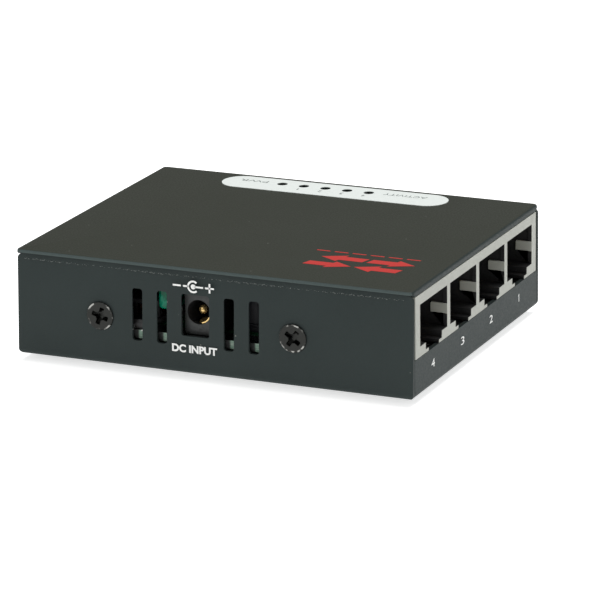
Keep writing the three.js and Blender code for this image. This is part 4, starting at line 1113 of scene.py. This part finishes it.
def build_film_capacitor():
    """A dipped body on two leads that stand on the board."""
    half, tall, place = stand("film_capacitor")
    foot = 4.1
    dip = pillow(half[0], half[1], (tall - foot + 0.2) / 2)
    piece("film_capacitor_dip", moved(dip, place + (-0.22, 0, (tall + foot - 0.2) / 2)),
          "dipped_epoxy", "film_capacitor")
    lead = turned([(0, 0), (0.3, 0), (0.3, 4.0), (0.55, 4.5), (0.3, 5.0), (0, 5.0)], 20)
    piece("film_capacitor_leads", copies(lead, [place - (0, 2.5, 0), place + (0, 2.5, 0)]),
          "tinned")


def build_small_parts():
    """Chip resistors and capacitors: a block between two tinned ends, in rows on the board."""
    low, high = span("circuit_board")
    front, top = low[1] + 1.3, high[2]
    spots = [(-13.2, front + 0.3), (-15.6, front + 0.2), (-24.5, -20.0), (-24.5, -17.0),
             (-24.5, -14.0), (-27.5, -20.0), (-27.5, -17.0), (9.4, -26.6), (11.9, -26.6),
             (-20, 12), (-20, 9.5), (-20, 7.0), (-17.5, 14.5), (3.5, 17.0), (5.5, 17.0),
             (-30, 4), (-30, 1.5), (-30, -1), (-4, 16.5), (-6.5, 16.5)]
    block = stacked(0.62, 0.60, 0.06, [(0.03, 0.05), (0, 0.1), (0, 0.5), (0.03, 0.55)], 3)
    end = stacked(0.2, 0.63, 0.06, [(0.03, 0.0), (0, 0.05), (0, 0.55), (0.03, 0.58)], 3)
    ends = [(x + side * 0.78, y, top) for x, y in spots for side in (-1, 1)]
    piece("small_part_blocks", copies(block, [(*spot, top) for spot in spots]), "ferrite_block",
          slotted=False)
    piece("small_part_ends", copies(end, ends), "tinned")


class SWITCH_OT_board(bpy.types.Operator):
    """Circuit board with its chips, modules, coil, capacitors and small parts"""

    bl_idname = "switch.board"
    bl_label = "Circuit board"

    def execute(self, context):
        def upright(centres, normals):
            return np.abs(normals[:, 2]) < 0.5

        softened("circuit_board", "board_sheet", "solder_mask", 0.05, "glass_epoxy", upright)
        build_chip()
        build_magnetics()
        build_crystal()
        build_inductor()
        build_regulator()
        build_diode()
        for k in (1, 2):
            build_can(k)
        build_film_capacitor()
        build_small_parts()
        return {"FINISHED"}


class SWITCH_OT_feet(bpy.types.Operator):
    """Four stick-on rubber feet with a rounded edge and a dished sole"""

    bl_idname = "switch.feet"
    bl_label = "Rubber feet"

    def execute(self, context):
        for k in range(1, 5):
            half, tall, place = stand(f"rubber_foot_{k}")
            r = half[0]
            edge = [(r - 0.4 + 0.4 * math.cos(t), 0.4 + 0.4 * math.sin(t))
                    for t in np.linspace(-TURN / 4, 0, 7)]
            profile = [(0, 0.16), (r * 0.45, 0.12), (r * 0.72, 0.02), *edge, (r, tall), (0, tall)]
            piece(f"foot_{k}", moved(turned(profile, 56), place), "rubber_compound",
                  f"rubber_foot_{k}")
        return {"FINISHED"}


# The stage, in metres and degrees: lights as name, place, size and share of the key's power
LIGHTS = (
    ("side_light", (1.4, -0.5, 0.9), 1.0, 0.15),
    ("front_light", (-0.75, -1.35, 0.9), 0.7, 0.2),
    ("top_light", (0.1, 0.5, 1.8), 1.4, 1.35),
)
CAMERA_PLACE = (0.28854, -0.64073, 0.21857)
CAMERA_ANGLES = (23.982, 16.783, -0.846)  # round from the inlet wall, up, and its own tilt
SENSOR_WIDTH, LENS = 36.0, 241.69  # millimetres, as the camera has them


class SWITCH_OT_stage(bpy.types.Operator):
    """Pale floor, soft studio light and the camera"""

    bl_idname = "switch.stage"
    bl_label = "Stage"

    def execute(self, context):
        scene, stage = context.scene, context.scene.switch_stage
        scene.view_settings.view_transform = "Standard"
        mesh = bpy.data.meshes.new("floor")
        reach, lines = 6.0, 25
        across = np.linspace(-reach, reach, lines)
        gx, gy = np.meshgrid(across, across, indexing="ij")
        points = np.stack([gx, gy, 0 * gx], -1).reshape(-1, 3)
        steps = np.arange(lines - 1)
        first = (steps[:, None] * lines + steps).ravel()
        faces = np.stack([first, first + lines, first + lines + 1, first + 1], -1)
        mesh.from_pydata(points.tolist(), [], faces.tolist())
        mesh.materials.append(finish("pale_floor"))
        floor = bpy.data.objects.new("floor", mesh)
        scene.collection.objects.link(floor)

        world = bpy.data.worlds.new("surround")
        world.use_nodes = True
        surround = world.node_tree.nodes["Background"].inputs
        surround["Color"].default_value = (1.0, 1.0, 1.0, 1.0)
        surround["Strength"].default_value = stage.sky
        scene.world = world

        for name, place, size, share in LIGHTS:
            self.lamp(name, place, size, stage.key * share)
        self.aim_camera(scene)
        return {"FINISHED"}

    def lamp(self, name, place, size, power):
        """A square soft light that faces the switch."""
        light = bpy.data.lights.new(name, "AREA")
        light.size, light.energy = size, power
        holder = bpy.data.objects.new(name, light)
        holder.location = place
        holder.rotation_mode = "QUATERNION"
        holder.rotation_quaternion = (-Vector(place)).to_track_quat("-Z", "Y")
        bpy.context.scene.collection.objects.link(holder)

    def aim_camera(self, scene):
        """A long lens to the right of the inlet wall and a little above the cover."""
        azimuth, elevation, roll = (math.radians(angle) for angle in CAMERA_ANGLES)
        back = Vector((math.sin(azimuth) * math.cos(elevation),
                       -math.cos(azimuth) * math.cos(elevation), math.sin(elevation)))
        level = Vector((math.cos(azimuth), math.sin(azimuth), 0))
        rise = back.cross(level)
        right = level * math.cos(roll) + rise * math.sin(roll)
        up = rise * math.cos(roll) - level * math.sin(roll)
        camera = bpy.data.cameras.new("camera")
        camera.sensor_width, camera.lens = SENSOR_WIDTH, LENS
        camera.clip_start, camera.clip_end = 0.01, 50.0
        holder = bpy.data.objects.new("camera", camera)
        turn = Matrix((right, up, back)).transposed().to_4x4()
        holder.matrix_world = Matrix.Translation(CAMERA_PLACE) @ turn
        scene.collection.objects.link(holder)
        scene.camera = holder


OPERATORS = (
    SWITCH_OT_case, SWITCH_OT_printing, SWITCH_OT_indicators, SWITCH_OT_sockets, SWITCH_OT_inlet,
    SWITCH_OT_fasteners, SWITCH_OT_board, SWITCH_OT_feet, SWITCH_OT_stage,
)


class SWITCH_PT_panel(bpy.types.Panel):
    """Lists the pieces of the switch, with their sizes and colours"""

    bl_idname = "SWITCH_PT_panel"
    bl_label = "Network switch"
    bl_space_type = "VIEW_3D"
    bl_region_type = "UI"
    bl_category = "Switch"

    def draw(self, context):
        for operator in OPERATORS:
            self.layout.operator(operator.bl_idname)
        scene = context.scene
        for group in (scene.switch_sizes, scene.switch_tones, scene.switch_stage):
            for name in group.__annotations__:
                self.layout.prop(group, name)


CLASSES = (SwitchTones, SwitchSizes, SwitchStage, *OPERATORS, SWITCH_PT_panel)


def register():
    for each in CLASSES:
        bpy.utils.register_class(each)
    bpy.types.Scene.switch_tones = bpy.props.PointerProperty(type=SwitchTones)
    bpy.types.Scene.switch_sizes = bpy.props.PointerProperty(type=SwitchSizes)
    bpy.types.Scene.switch_stage = bpy.props.PointerProperty(type=SwitchStage)


def unregister():
    del bpy.types.Scene.switch_tones, bpy.types.Scene.switch_sizes, bpy.types.Scene.switch_stage
    for each in reversed(CLASSES):
        bpy.utils.unregister_class(each)


def main():
    register()
    for operator in OPERATORS:
        group, name = operator.bl_idname.split(".")
        getattr(getattr(bpy.ops, group), name)()


if __name__ == "__main__":
    main()
